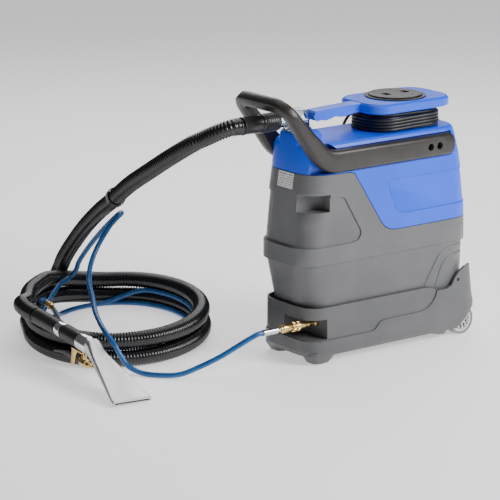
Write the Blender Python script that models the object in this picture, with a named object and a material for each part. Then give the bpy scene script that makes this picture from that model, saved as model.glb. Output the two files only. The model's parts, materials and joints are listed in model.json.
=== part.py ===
"""Spot extractor: a portable carpet and upholstery cleaner with a tilting tank, hoses and hand tool.

+X points to the wheels, -Y to the side with the water coupling, +Z up; metres.
The origin is on the floor under the middle of the machine, without its hoses and cord.
"""

import math

import bmesh
import bpy
from mathutils import Matrix, Vector

for leftover in list(bpy.data.objects):
    bpy.data.objects.remove(leftover)

# Driving dimensions
GAP = 0.0003
WALL = 0.004
OVERALL_LENGTH = 0.658
BASE_LENGTH = 0.566
BASE_WIDTH = 0.215
BASE_RADIUS = 0.050
BASE_FLOOR = 0.022
RIM_Z = 0.147
REAR = OVERALL_LENGTH / 2
BASE_FRONT = REAR - BASE_LENGTH
HINGE_X, HINGE_Z = 0.247, 0.153
WHEEL_X, WHEEL_RADIUS, WHEEL_WIDTH = 0.275, 0.038, 0.024
WHEEL_Y = 0.081
TANK_BOTTOM = 0.132
BELT_LOW, BELT_HIGH = 0.2555, 0.300
SEAM_Z = 0.488
LID_Z = 0.556
HUMP_TOP = 0.582
CAP_X = 0.117
PLATE_LOW, PLATE_HIGH = 0.607, 0.632
DOME_X, INLET_Z = -0.1965, 0.611
HOSE_DIAMETER = 0.044
LINE_DIAMETER = 0.0135
CORD_DIAMETER = 0.008
BAR_LOW, BAR_HIGH = 0.485, 0.543
BAR_INNER, BAR_OUTER = 0.074, 0.112
COUPLING_Y, COUPLING_Z = -0.060, 0.101
PIPE_X, PIPE_Y, PIPE_RADIUS = 0.100, 0.030, 0.018
MOTOR_X, MOTOR_RADIUS = 0.100, 0.066

X, Y, Z = Vector((1, 0, 0)), Vector((0, 1, 0)), Vector((0, 0, 1))


# Materials
def material(name, colour, roughness, metallic=0.0, transmission=0.0):
    made = bpy.data.materials.new(name)
    made.use_nodes = True
    shader = made.node_tree.nodes["Principled BSDF"]
    shader.inputs["Base Color"].default_value = (*colour, 1.0)
    shader.inputs["Roughness"].default_value = roughness
    shader.inputs["Metallic"].default_value = metallic
    shader.inputs["Transmission Weight"].default_value = transmission
    return made


GREY = material("grey_polyethylene", (0.15, 0.15, 0.155), 0.5)
BLUE = material("blue_polyethylene", (0.02, 0.10, 0.62), 0.42)
BLACK = material("black_plastic", (0.02, 0.02, 0.021), 0.5)
HANDLE = material("handle_plastic", (0.045, 0.042, 0.040), 0.5)
RUBBER = material("hose_rubber", (0.012, 0.012, 0.013), 0.35)
BRASS = material("brass", (0.72, 0.50, 0.20), 0.28, 1.0)
STEEL = material("bright_steel", (0.75, 0.75, 0.77), 0.2, 1.0)
ZINC = material("zinc_plate", (0.50, 0.51, 0.53), 0.35, 1.0)
CREAM = material("wheel_plastic", (0.62, 0.62, 0.56), 0.5)
TREAD = material("wheel_tread", (0.30, 0.30, 0.29), 0.7)
CLEAR = material("clear_plastic", (0.80, 0.86, 0.95), 0.06, 0.0, 0.9)
WHITE = material("label_film", (0.80, 0.80, 0.78), 0.5)
HOSE_BLUE = material("solution_line", (0.02, 0.16, 0.50), 0.3)


# Making solids
def placed(name, mesh, finish, hidden=False):
    """An object for the mesh: a sub-part, or a cutter if hidden."""
    piece = bpy.data.objects.new(name, mesh)
    bpy.context.scene.collection.objects.link(piece)
    if hidden:
        piece.hide_render = True
        piece.display_type = "WIRE"
    else:
        mesh.materials.append(finish)
    return piece


def solid(name, bm, finish=None, smooth=True):
    """Turns a closed bmesh into an object with its faces pointing out. No finish means a cutter."""
    bmesh.ops.recalc_face_normals(bm, faces=bm.faces)
    mesh = bpy.data.meshes.new(name)
    bm.to_mesh(mesh)
    bm.free()
    if smooth:
        mesh.shade_smooth()
        mesh.set_sharp_from_angle(angle=math.radians(35))
    return placed(name, mesh, finish, hidden=finish is None)


def skin(bm, rings):
    """Quads from each ring of points to the next, with a cap on both ends."""
    loops = [[bm.verts.new(point) for point in ring] for ring in rings]
    for lower, upper in zip(loops, loops[1:]):
        for i, corner in enumerate(lower):
            j = (i + 1) % len(lower)
            bm.faces.new((corner, lower[j], upper[j], upper[i]))
    bm.faces.new(loops[0])
    bm.faces.new(loops[-1])


def outline(front, rear, half, radius, z, steps=5, y=0.0):
    """A rounded rectangle at height z, from x = front to rear and as wide as half on each side of y."""
    points = []
    middle_x, reach_x, reach_y = (front + rear) / 2, (rear - front) / 2 - radius, half - radius
    for quarter, (sx, sy) in enumerate(((1, 1), (-1, 1), (-1, -1), (1, -1))):
        for step in range(steps + 1):
            turn = math.radians(90 * (quarter + step / steps))
            points.append((middle_x + sx * reach_x + radius * math.cos(turn),
                           y + sy * reach_y + radius * math.sin(turn), z))
    return points


def loft(name, sections, finish=None, steps=5, y=0.0):
    """A solid through rounded rectangles, each (z, front, rear, half width, corner radius)."""
    bm = bmesh.new()
    skin(bm, [outline(front, rear, half, radius, z, steps, y) for z, front, rear, half, radius in sections])
    return solid(name, bm, finish)


def inset(sections, wall, low, high):
    """The sections a wall thinner all round, between two heights."""
    inner = []
    for z, front, rear, half, radius in sections:
        inner.append((min(max(z, low), high), front + wall, rear - wall, half - wall, radius - wall))
    kept = [inner[0]]
    for section in inner[1:]:
        if section[0] > kept[-1][0] + 1e-5:
            kept.append(section)
    return kept


def prism(name, profile, y0, y1, finish=None):
    """A side profile of (x, z) points, drawn out from y0 to y1."""
    bm = bmesh.new()
    skin(bm, [[(x, y, z) for x, z in profile] for y in (y0, y1)])
    return solid(name, bm, finish, smooth=False)


def box(name, low, high, finish=None):
    (x0, y0, z0), (x1, y1, z1) = low, high
    return prism(name, [(x0, z0), (x1, z0), (x1, z1), (x0, z1)], y0, y1, finish)


def turned(name, profile, foot, axis, finish=None, steps=24, ring=False):
    """A turned solid: (radius, distance) points along the axis from its foot; a ring's profile is a closed loop."""
    bm = bmesh.new()
    points = [bm.verts.new((radius, 0, along)) for radius, along in profile]
    edges = [bm.edges.new(pair) for pair in zip(points, points[1:])]
    if ring:
        edges.append(bm.edges.new((points[-1], points[0])))
    bmesh.ops.spin(bm, geom=points + edges, axis=(0, 0, 1), cent=(0, 0, 0),
                   angle=2 * math.pi, steps=steps, use_merge=True)
    bmesh.ops.remove_doubles(bm, verts=bm.verts, dist=1e-6)
    turn = Z.rotation_difference(Vector(axis).normalized()).to_matrix().to_4x4()
    bmesh.ops.transform(bm, matrix=Matrix.Translation(Vector(foot)) @ turn, verts=bm.verts)
    return solid(name, bm, finish)


def rod(name, foot, axis, radius, length, finish=None, steps=24):
    return turned(name, [(0, 0), (radius, 0), (radius, length), (0, length)], foot, axis, finish, steps)


def pipe(name, foot, axis, outer, inner, length, finish=None, steps=24):
    profile = [(inner, 0), (outer, 0), (outer, length), (inner, length)]
    return turned(name, profile, foot, axis, finish, steps, ring=True)


def boolean(piece, others, operation="DIFFERENCE"):
    for other in others:
        modifier = piece.modifiers.new(other.name, "BOOLEAN")
        modifier.object = other
        modifier.operation = operation
    return piece


def pivot(piece, point):
    """Moves the object's origin to a point on its joint's axis, leaving its shape where it is."""
    piece.data.transform(Matrix.Translation(-Vector(point)))
    piece.location = point
    return piece


def smooth_route(route, spacing):
    """Even points on a smooth curve through the route's own points."""
    points = [Vector(point) for point in route]
    ends = [2 * points[0] - points[1]] + points + [2 * points[-1] - points[-2]]
    dense = []
    for a, b, c, d in zip(ends, ends[1:], ends[2:], ends[3:]):
        for step in range(24):
            t = step / 24
            dense.append(0.5 * (2 * b + (c - a) * t + (2 * a - 5 * b + 4 * c - d) * t * t
                                + (3 * b - a - 3 * c + d) * t ** 3))
    dense.append(points[-1])
    length = sum((q - p).length for p, q in zip(dense, dense[1:]))
    count = max(2, round(length / spacing))
    even, walked, target = [dense[0]], 0.0, length / count
    for p, q in zip(dense, dense[1:]):
        run = (q - p).length
        while walked + run >= target and len(even) < count:
            even.append(p.lerp(q, (target - walked) / run))
            target += length / count
        walked += run
    even.append(dense[-1])
    return even


def tube(name, route, diameter, finish, spacing=2.5):
    """A cord's plain tube along its route."""
    curve = bpy.data.curves.new(name, "CURVE")
    curve.dimensions = "3D"
    curve.bevel_depth = diameter / 2
    curve.bevel_resolution = 3
    curve.use_fill_caps = True
    curve.materials.append(finish)
    points = smooth_route(route, spacing * diameter)
    spline = curve.splines.new("POLY")
    spline.points.add(len(points) - 1)
    for slot, point in zip(spline.points, points):
        slot.co = (*point, 1.0)
    piece = bpy.data.objects.new(name, curve)
    bpy.context.scene.collection.objects.link(piece)
    return piece


def both_sides(name, y0, y1, make):
    """The same cutter or part on the -Y and the +Y side."""
    return [make(f"{name}_right", -y1, -y0), make(f"{name}_left", y0, y1)]


# Base housing: an open moulded tray that carries the motor, the pump, the wheels and the tank hinge
BASE = [(BASE_FLOOR, -0.230, 0.312, 0.1020, 0.048), (0.034, -0.2365, 0.321, 0.1070, BASE_RADIUS),
        (0.073, BASE_FRONT, REAR, BASE_WIDTH / 2, BASE_RADIUS), (0.110, BASE_FRONT, 0.320, 0.1072, BASE_RADIUS),
        (0.150, BASE_FRONT, 0.316, 0.1065, BASE_RADIUS), (0.185, BASE_FRONT, 0.312, 0.1060, BASE_RADIUS)]
RIM = [(-0.40, RIM_Z), (0.138, RIM_Z), (0.158, 0.1445), (0.182, 0.134), (0.212, 0.1345), (0.226, 0.141),
       (0.237, 0.160), (0.252, 0.175), (0.270, 0.184), (0.285, 0.190), (0.40, 0.190), (0.40, 0.30), (-0.40, 0.30)]
STEP = [(-0.40, 0.064), (-0.110, 0.063), (-0.036, 0.063), (-0.026, 0.068), (-0.012, 0.083), (0.0, 0.087),
        (0.122, 0.088), (0.146, 0.094), (0.162, 0.106), (0.172, 0.120), (0.178, 0.136), (0.178, 0.30),
        (-0.40, 0.30)]
base = loft("base_housing", BASE, GREY)
feet = both_sides("foot", 0.044, 0.1030, lambda name, y0, y1: loft(
    name, [(0.0033, -0.212, -0.160, 0.022, 0.014), (0.024, -0.226, -0.140, (y1 - y0) / 2, 0.022),
           (0.034, -0.226, -0.140, (y1 - y0) / 2, 0.022)], y=(y0 + y1) / 2))
skid = loft("rear_skid", [(0.0095, 0.196, 0.226, 0.090, 0.012), (0.0235, 0.150, 0.2265, 0.098, 0.012),
                          (0.030, 0.150, 0.2265, 0.098, 0.012)])
boolean(base, feet + [skid], "UNION")
step_cut = boolean(prism("step_recess", STEP, -0.2, 0.2), [loft("step_core", inset(BASE, 0.0035, 0.03, 0.32))])
cavity = loft("base_cavity", inset(BASE, 2 * WALL, BASE_FLOOR + 0.008, 0.32))
housing_walls = [box("pocket_wall", (-0.30, -0.15, 0.060), (-0.172, 0.006, 0.1235))]
housing_walls += both_sides("well_wall", 0.058, 0.15, lambda name, y0, y1: box(
    name, (0.2275, y0, 0.0), (0.40, y1, 0.086)))
housing_walls.append(box("axle_carrier", (0.2275, -0.06, 0.0), (0.40, 0.06, 0.056)))
boolean(cavity, housing_walls)
pocket = loft("coupling_pocket", [(0.066, -0.30, -0.180, 0.085, 0.012), (0.117, -0.30, -0.180, 0.085, 0.012)],
              y=-0.083)
wells = both_sides("wheel_well", 0.0655, 0.0985, lambda name, y0, y1: box(
    name, (0.2315, y0, -0.01), (0.40, y1, 0.082)))
skirts = both_sides("skirt_cut", 0.095, 0.15, lambda name, y0, y1: prism(
    name, [(0.2365, -0.01), (0.2365, 0.013), (0.303, 0.073), (0.335, 0.102), (0.40, 0.102), (0.40, -0.01)], y0, y1))
rear_notch = box("tip_clearance", (0.285, -0.085, 0.1245), (0.40, 0.085, 0.30))
hinge_bore = rod("hinge_bore", (HINGE_X, -0.2, HINGE_Z), Y, 0.0046, 0.4)
axle_bore = rod("axle_bore", (WHEEL_X, -0.2, WHEEL_RADIUS), Y, 0.0055, 0.4)
boolean(base, [step_cut, cavity, prism("above_rim", RIM, -0.2, 0.2), pocket, *wells, *skirts, rear_notch,
               hinge_bore, axle_bore])

for side, y in (("right", -0.0735), ("left", 0.0735)):
    turned(f"foot_pad_{side}", [(0, 0), (0.016, 0), (0.016, 0.003), (0, 0.003)], (-0.186, y, 0), Z, RUBBER, 20)

# Wheels on a plain axle
rod("axle", (WHEEL_X, -0.0960, WHEEL_RADIUS), Y, 0.0050, 0.1920, ZINC, 16)
for side, sign in (("right", -1), ("left", 1)):
    inner = sign * (WHEEL_Y - WHEEL_WIDTH / 2)
    tyre = pipe(f"tyre_{side}", (WHEEL_X, inner, WHEEL_RADIUS), Y * sign, WHEEL_RADIUS, 0.0325, WHEEL_WIDTH,
                TREAD, 36)
    rim = turned(f"wheel_{side}", [(0.0054, 0), (0.012, 0), (0.014, 0.005), (0.026, 0.005), (0.0322, 0.002),
                                   (0.0322, 0.022), (0.027, 0.022), (0.024, 0.018), (0.013, 0.018), (0.011, 0.0235),
                                   (0.0054, 0.0235)], (WHEEL_X, inner, WHEEL_RADIUS), Y * sign, CREAM, 36, ring=True)
    pivot(tyre, (WHEEL_X, inner, WHEEL_RADIUS))
    pivot(rim, (WHEEL_X, inner, WHEEL_RADIUS))

# Tank and lid share one outer form, split along a line that steps down behind the front tower
BODY = [(TANK_BOTTOM, -0.2190, 0.2890, 0.0925, 0.055), (0.150, -0.2230, 0.2920, 0.0940, 0.056),
        (0.2535, -0.2465, 0.2955, 0.0985, 0.062), (BELT_LOW, -0.2555, 0.3015, 0.1025, 0.064),
        (BELT_HIGH, -0.2555, 0.3010, 0.1025, 0.064), (0.306, -0.2510, 0.3005, 0.1025, 0.064),
        (0.356, -0.2465, 0.2990, 0.1020, 0.064), (0.437, -0.2385, 0.2890, 0.1005, 0.064),
        (SEAM_Z, -0.2310, 0.2790, 0.0990, 0.063), (0.540, -0.2260, 0.2640, 0.0965, 0.060),
        (0.5515, -0.2215, 0.2585, 0.0925, 0.055), (LID_Z, -0.2140, 0.2520, 0.0855, 0.048)]
SPLIT = [(-0.40, SEAM_Z), (-0.110, 0.4800), (-0.094, 0.4770), (-0.0100, 0.3440), (0.004, 0.3270),
         (0.022, 0.3185), (0.046, 0.3155), (0.40, 0.3175)]


def shifted(profile, distance):
    """The split line moved down and forward by a distance, so that an even wall stays along its slope."""
    return [(x - (0.7 * distance if -0.10 < x < 0.02 else 0.0), z - distance) for x, z in profile]


def below(line):
    return line + [(0.40, 0.05), (-0.40, 0.05)]


def above(line):
    return line + [(0.40, 0.70), (-0.40, 0.70)]


tank = boolean(loft("solution_tank", BODY[:10], GREY), [prism("under_split", below(shifted(SPLIT, 0.0008)), -0.2, 0.2)],
               "INTERSECT")
tank_core = boolean(loft("tank_core", inset(BODY[:10], WALL + 0.004, TANK_BOTTOM + WALL, 0.54)),
                    [prism("core_split", below(shifted(SPLIT, 0.0008 + WALL)), -0.2, 0.2)], "INTERSECT")
grip_wall = loft("grip_wall", [(0.379, -0.30, -0.166, 0.060, 0.030), (0.441, -0.30, -0.166, 0.060, 0.030)], y=-0.105)
boolean(tank_core, [grip_wall])
PANEL = [(-0.40, 0.301), (-0.145, 0.301), (-0.100, 0.301), (-0.082, 0.306), (-0.073, 0.318), (-0.073, 0.330),
         (-0.124, 0.417), (-0.134, 0.4225), (-0.40, 0.4300)]
panel = boolean(prism("panel_recess", PANEL, -0.2, 0.2), [loft("panel_core", inset(BODY[:10], 0.0035, 0.26, 0.54))])
grip = loft("grip_pocket", [(0.388, -0.30, -0.170, 0.056, 0.026), (0.432, -0.30, -0.170, 0.056, 0.026)], y=-0.105)
fill_hole = rod("fill_hole", (-0.165, 0, 0.45), Z, 0.030, 0.08)
pipe_bore = rod("pipe_bore", (PIPE_X, PIPE_Y, 0.05), Z, PIPE_RADIUS + GAP, 0.30)
drain_bore = rod("drain_bore", (-0.120, 0.030, 0.10), Z, 0.0085, 0.06)
boolean(tank, [panel, tank_core, grip, fill_hole, pipe_bore, drain_bore, hinge_bore])

for side, sign in (("right", -1), ("left", 1)):
    turned(f"hinge_pin_{side}", [(0, 0), (0.0042, 0), (0.0042, 0.0185), (0, 0.0185)],
           (HINGE_X, sign * 0.0860, HINGE_Z), Y * sign, ZINC, 16)

# Recovery tank: the blue upper body with side wings, a channel for the handle bars and the hump of the inlet
lid = boolean(loft("recovery_tank", BODY[4:], BLUE), [prism("over_split", above(shifted(SPLIT, -0.0008)), -0.2, 0.2)],
              "INTERSECT")
hump = loft("inlet_hump", [(0.530, -0.226, -0.146, 0.058, 0.034), (0.572, -0.224, -0.148, 0.056, 0.033),
                           (0.579, -0.220, -0.152, 0.052, 0.030), (HUMP_TOP, -0.213, -0.159, 0.045, 0.024)])
boolean(lid, [hump], "UNION")
CHANNEL = [(-0.40, BAR_LOW - 0.0015), (0.2245, BAR_LOW - 0.0015), (0.2245, BAR_HIGH + 0.0015),
           (-0.148, BAR_HIGH + 0.0015), (-0.164, 0.5560), (-0.182, 0.5720), (-0.40, 0.80)]
channels = both_sides("bar_channel", BAR_INNER - 0.0007, 0.15, lambda name, y0, y1: prism(name, CHANNEL, y0, y1))
lid_core = boolean(loft("lid_core", inset(BODY[4:], WALL, 0.31, LID_Z - WALL)),
                   [prism("lid_core_split", above(shifted(SPLIT, -0.0008 - WALL)), -0.2, 0.2)], "INTERSECT")
boolean(lid_core, both_sides("channel_wall", BAR_INNER - 0.0007 - WALL, 0.15, lambda name, y0, y1: box(
    name, (-0.40, y0, BAR_LOW - 0.0055), (0.2285, y1, LID_Z))))
WING = [(0.018, 0.441), (0.400, 0.4435), (0.400, 0.3560), (0.078, 0.3540), (0.056, 0.358), (0.041, 0.368),
        (0.012, 0.424), (0.012, 0.434)]
wing = boolean(prism("wing_recess", WING, -0.2, 0.2), [loft("wing_core", inset(BODY[4:], 0.0022, 0.30, 0.60))])
access = rod("access_hole", (CAP_X, 0, 0.50), Z, 0.0540, 0.08)
inlet = rod("inlet_hole", (DOME_X, 0, 0.50), Z, 0.0230, 0.12)
boolean(lid, [lid_core, *channels, wing, access, inlet, pipe_bore])

# Handle: one moulded U with a bar along each side, arms that rise forward and a bar across
ARM_RISE = math.radians(51.4)
ARM_UP = Vector((-math.cos(ARM_RISE), 0, math.sin(ARM_RISE)))
ARM_FACE = Vector((math.sin(ARM_RISE), 0, math.cos(ARM_RISE)))
KINK = Vector((-0.190, 0, 0.514))
CROSS = Vector((-0.3075, 0, 0.6640))
ARM_Y = (BAR_INNER + BAR_OUTER) / 2
CORNER = 0.036


def handle_rings():
    """Rings of a rounded rectangle along one half of the U, each (centre, across, face, half width, half depth)."""
    rings = []
    half_width, bar_half = (BAR_OUTER - BAR_INNER) / 2, (BAR_HIGH - BAR_LOW) / 2
    centre = (BAR_HIGH + BAR_LOW) / 2
    for x, depth in ((0.2225, 0.017), (0.2195, 0.024), (0.212, bar_half), (-0.150, bar_half)):
        rings.append((Vector((x, -ARM_Y, centre)), Y, Z, half_width, depth))
    for share, depth in ((0.25, 0.0285), (0.5, 0.0275), (0.75, 0.0260), (1.0, 0.0245)):
        lean = share * ARM_RISE
        along = Vector((-math.cos(lean), 0, math.sin(lean)))
        start = Vector((-0.150, -ARM_Y, centre))
        run = 0.062 * share
        rings.append((start + run * (Vector((-1, 0, 0)) + along).normalized(), Y,
                      Vector((math.sin(lean), 0, math.cos(lean))), half_width, depth))
    top = Vector((CROSS.x, -ARM_Y, CROSS.z))
    rings.append((top - (CORNER + 0.045) * ARM_UP, Y, ARM_FACE, half_width, 0.0180))
    pivot_point = top - CORNER * ARM_UP + CORNER * Y
    for step in range(5):
        turn = math.radians(90 * step / 4)
        across = (math.cos(turn) * Y - math.sin(turn) * ARM_UP)
        rings.append((pivot_point - CORNER * across, across, ARM_FACE, half_width * (1 - 0.03 * step), 0.0150))
    return rings


def swept(rings, corner=0.011, steps=3):
    """Points of each ring's rounded rectangle, in the plane of its across and face directions."""
    loops = []
    for centre, across, face, half_width, half_depth in rings:
        flat = outline(-half_width, half_width, half_depth, min(corner, half_depth * 0.6), 0, steps)
        loops.append([centre + u * across + v * face for u, v, _ in flat])
    return loops


near = handle_rings()
far = [(Vector((c.x, -c.y, c.z)), Vector((a.x, -a.y, a.z)), f, w, d)
       for c, a, f, w, d in reversed(near)]
bm = bmesh.new()
skin(bm, swept(near + far))
handle = solid("handle", bm, HANDLE)
bolt_places = []
for side, sign in (("right", -1), ("left", 1)):
    for place, x in (("front", 0.1430), ("rear", 0.1725)):
        bolt_places.append((f"handle_bolt_{place}_{side}", x, sign))
counterbores = [turned(f"counterbore_{name}", [(0, 0), (0.0034, 0), (0.0034, 0.022), (0.0092, 0.022), (0.0092, 0.06),
                                               (0, 0.06)], (x, sign * 0.0700, 0.514), Y * sign, None, 20)
                for name, x, sign in bolt_places]
boolean(handle, counterbores)
bolt_bores = [rod(f"bore_{name}", (x, sign * 0.0600, 0.514), Y * sign, 0.0034, 0.03, None, 16)
              for name, x, sign in bolt_places]
boolean(lid, bolt_bores)
for name, x, sign in bolt_places:
    turned(name, [(0, 0), (0.0031, 0), (0.0031, 0.0265), (0.0066, 0.0265), (0.0066, 0.0320), (0.0030, 0.0320),
                  (0.0030, 0.0290), (0, 0.0290)], (x, sign * 0.0660, 0.514), Y * sign, ZINC, 18)

# Cord winder: spool and plate with a grip, round the threaded access cover
PLATE = (CAP_X - 0.129, CAP_X + 0.129, 0.085, 0.050)
SPOOL = (CAP_X - 0.096, CAP_X + 0.096, 0.0600, 0.045)
winder = loft("cord_winder", [(PLATE_LOW, *PLATE), (PLATE_LOW + 0.004, PLATE[0] - 0.002, PLATE[1] + 0.002, 0.087, 0.052),
                              (PLATE_HIGH - 0.006, PLATE[0] - 0.002, PLATE[1] + 0.002, 0.087, 0.052),
                              (PLATE_HIGH, PLATE[0] + 0.004, PLATE[1] - 0.004, 0.081, 0.046)], BLUE, 7)
spool = loft("spool", [(LID_Z + GAP, *SPOOL), (PLATE_LOW + 0.006, *SPOOL)], None, 7)
GRIP_TOP = [(-0.160, 0.612), (-0.157, 0.620), (-0.150, 0.6255), (-0.060, 0.6290), (0.020, 0.6300)]
GRIP_UNDER = [(0.020, 0.608), (-0.030, 0.6075), (-0.045, 0.6055), (-0.062, 0.6020), (-0.078, 0.6030),
              (-0.092, 0.6060), (-0.106, 0.6020), (-0.122, 0.5990), (-0.136, 0.6020), (-0.147, 0.6000),
              (-0.156, 0.6030)]
grip_bar = prism("winder_grip", GRIP_TOP + GRIP_UNDER, -0.020, 0.020)
boolean(winder, [spool, grip_bar], "UNION")
boolean(winder, [rod("neck_bore", (CAP_X, 0, 0.54), Z, 0.0540, 0.12, None, 36),
                 rod("ring_seat", (CAP_X, 0, PLATE_HIGH - 0.012), Z, 0.0610, 0.03, None, 36)])
turned("deck_ring", [(0.0545, 0.0), (0.0605, 0.0), (0.0605, 0.0123), (0.0775, 0.0123), (0.0780, 0.0135),
                     (0.0770, 0.0150), (0.0545, 0.0150)], (CAP_X, 0, PLATE_HIGH - 0.012 + GAP), Z, BLACK, 36, ring=True)
cap = turned("deck_cap", [(0, -0.004), (0.050, -0.004), (0.050, -0.012), (0.0540, -0.012), (0.0540, 0.0006),
                          (0.0685, 0.0006), (0.0690, 0.0020), (0.0670, 0.0038), (0, 0.0044)],
             (CAP_X, 0, PLATE_HIGH + 0.0035), Z, BLACK, 36)
boolean(cap, [loft(f"finger_well_{name}", [(PLATE_HIGH + 0.0020, x - 0.009, x + 0.009, 0.013, 0.006),
                                           (PLATE_HIGH + 0.02, x - 0.010, x + 0.010, 0.014, 0.006)], None, 3)
              for name, x in (("front", CAP_X - 0.030), ("rear", CAP_X + 0.030))])
pivot(cap, (CAP_X, 0, PLATE_HIGH))

# Clear inlet dome on its gasket
pipe("dome_gasket", (DOME_X, 0, HUMP_TOP + GAP), Z, 0.0350, 0.0235, 0.0022, RUBBER, 28)
DOME = [(0, 0.049), (0.0115, 0.0478), (0.0200, 0.0430), (0.0250, 0.0350), (0.0270, 0.0255), (0.0270, 0.0),
        (0.0350, 0.0), (0.0350, 0.003), (0.0305, 0.004), (0.0300, 0.026), (0.0280, 0.036), (0.0225, 0.045),
        (0.0130, 0.0505), (0, 0.052)]
DOME_FOOT = HUMP_TOP + 2 * GAP + 0.0022
dome = turned("inlet_dome", DOME, (DOME_X, 0, DOME_FOOT), Z, CLEAR, 28)
boolean(dome, [rod("inlet_stub", (DOME_X - 0.0275, 0, INLET_Z), -X, 0.0170, 0.0475)], "UNION")
boolean(dome, [rod("inlet_bore", (DOME_X, 0, INLET_Z), -X, 0.0145, 0.12)])

# Float shut-off over the air pipe
pipe("air_pipe", (PIPE_X, PIPE_Y, TANK_BOTTOM + 0.0005), Z, PIPE_RADIUS, 0.0155, 0.355, CREAM)
CAGE_Z = TANK_BOTTOM + 0.0005 + 0.355 + GAP
cage = turned("float_cage", [(0, 0.047), (0.0220, 0.047), (0.0220, 0.0), (0.0140, 0.0), (0.0140, 0.003),
                             (0.0195, 0.003), (0.0195, 0.044), (0, 0.044)], (PIPE_X, PIPE_Y, CAGE_Z), Z, CREAM)
boolean(cage, [box("cage_window", (PIPE_X - 0.03, PIPE_Y - 0.009, CAGE_Z + 0.007),
                   (PIPE_X + 0.03, PIPE_Y + 0.009, CAGE_Z + 0.038))])
ball = turned("float_ball", [(0.0165 * math.sin(math.radians(15 * i)), -0.0165 * math.cos(math.radians(15 * i)))
                             for i in range(13)], (PIPE_X, PIPE_Y, CAGE_Z + 0.0200), Z, WHITE, 20)
pivot(ball, (PIPE_X, PIPE_Y, CAGE_Z + 0.0200))

# Vacuum motor and water pump in the base
MOTOR_Z = BASE_FLOOR + 0.008 + GAP
motor = turned("vacuum_motor", [(0.058, 0.0), (MOTOR_RADIUS, 0.0), (MOTOR_RADIUS, 0.055), (0.052, 0.060), (0.052, 0.094),
                                (0.020, 0.0965), (0.020, 0.0930), (0.048, 0.0900), (0.048, 0.0575), (0.058, 0.0520)],
               (MOTOR_X, 0, MOTOR_Z), Z, ZINC, 32, ring=True)
fan = turned("motor_fan", [(0, 0.004), (0.054, 0.004), (0.054, 0.010), (0.012, 0.014), (0.012, 0.085), (0, 0.085)],
             (MOTOR_X, 0, MOTOR_Z), Z, STEEL, 28)
pivot(fan, (MOTOR_X, 0, MOTOR_Z))
pump_motor = rod("pump_motor", (-0.075, 0.045, 0.062), X, 0.028, 0.090, ZINC)
pump = loft("pump_head", [(0.036, -0.150, -0.0755, 0.031, 0.008), (0.092, -0.150, -0.0755, 0.031, 0.008)], BLACK, 3,
            y=0.045)
boolean(pump_motor, [loft("pump_bracket", [(MOTOR_Z, -0.070, 0.018, 0.030, 0.006), (0.0375, -0.070, 0.018, 0.030, 0.006)],
                          None, 3, y=0.045)], "UNION")
turned("tank_outlet", [(0, 0), (0.0070, 0), (0.0070, 0.022), (0.012, 0.022), (0.012, 0.030), (0, 0.030)],
       (-0.120, 0.030, 0.1145), Z, BRASS, 20)
tube("pump_hose", [(-0.1542, 0.045, 0.070), (-0.1590, 0.044, 0.070), (-0.1640, 0.032, 0.073), (-0.1580, 0.006, 0.082),
                   (-0.1420, -0.032, 0.095), (-0.1380, -0.051, 0.1005), (-0.1470, -0.0595, COUPLING_Z),
                   (-0.1657, COUPLING_Y, COUPLING_Z)], 0.012, HOSE_BLUE, 1.2)

# Water coupling in the corner pocket
def coupling(name, profile, start, finish, steps=20):
    """A turned fitting on the coupling's axis, running forward from x = start."""
    return turned(name, profile, (start, COUPLING_Y, COUPLING_Z), -X, finish, steps)


coupling("bulkhead_nipple", [(0, 0), (0.0062, 0), (0.0062, 0.0144), (0.0095, 0.0144), (0.0095, 0.0220),
                             (0.0060, 0.0230), (0.0060, 0.0360), (0.0075, 0.0380), (0.0075, 0.0440), (0.0045, 0.0460),
                             (0.0045, 0.0540), (0, 0.0540)], -0.1660, BRASS)
boolean(base, [rod("nipple_bore", (-0.150, COUPLING_Y, COUPLING_Z), -X, 0.0066, 0.04)])
BODY_START, FERRULE_START, LINE_START = -0.2203, -0.2950, -0.3478
coupling("coupling_body", [(0, 0), (0.0095, 0), (0.0095, 0.0110), (0.0088, 0.0118), (0.0088, 0.0400), (0.0108, 0.0410),
                           (0.0108, 0.0680), (0.0085, 0.0700), (0.0085, 0.0744), (0, 0.0744)], BODY_START, BRASS)
sleeve = turned("coupling_sleeve", [(0.0092, 0), (0.0122, 0.0010), (0.0122, 0.0080), (0.0112, 0.0090),
                                    (0.0112, 0.0130), (0.0122, 0.0140), (0.0122, 0.0210), (0.0092, 0.0220)],
                (-0.2370, COUPLING_Y, COUPLING_Z), -X, BRASS, 24, ring=True)
pivot(sleeve, (-0.2370, COUPLING_Y, COUPLING_Z))
coupling("hose_ferrule", [(0, 0), (0.0060, 0), (0.0060, 0.0080), (0.0082, 0.0090), (0.0082, 0.0525), (0, 0.0525)],
         FERRULE_START, STEEL)

# Label on the front of the tank's lip
LIP_LOW, LIP_HIGH = Vector((-0.2385, 0, 0.437)), Vector((-0.2310, 0, SEAM_Z))
LIP_UP = (LIP_HIGH - LIP_LOW).normalized()
LIP_OUT = Vector((-LIP_UP.z, 0, LIP_UP.x))
bm = bmesh.new()
skin(bm, [[LIP_LOW + up * LIP_UP + out * LIP_OUT + y * Y for up, out in ((0.006, 0.0003), (0.045, 0.0003),
                                                                        (0.045, 0.0010), (0.006, 0.0010))]
          for y in (-0.034, 0.026)])
solid("rating_label", bm, WHITE, smooth=False)

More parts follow.
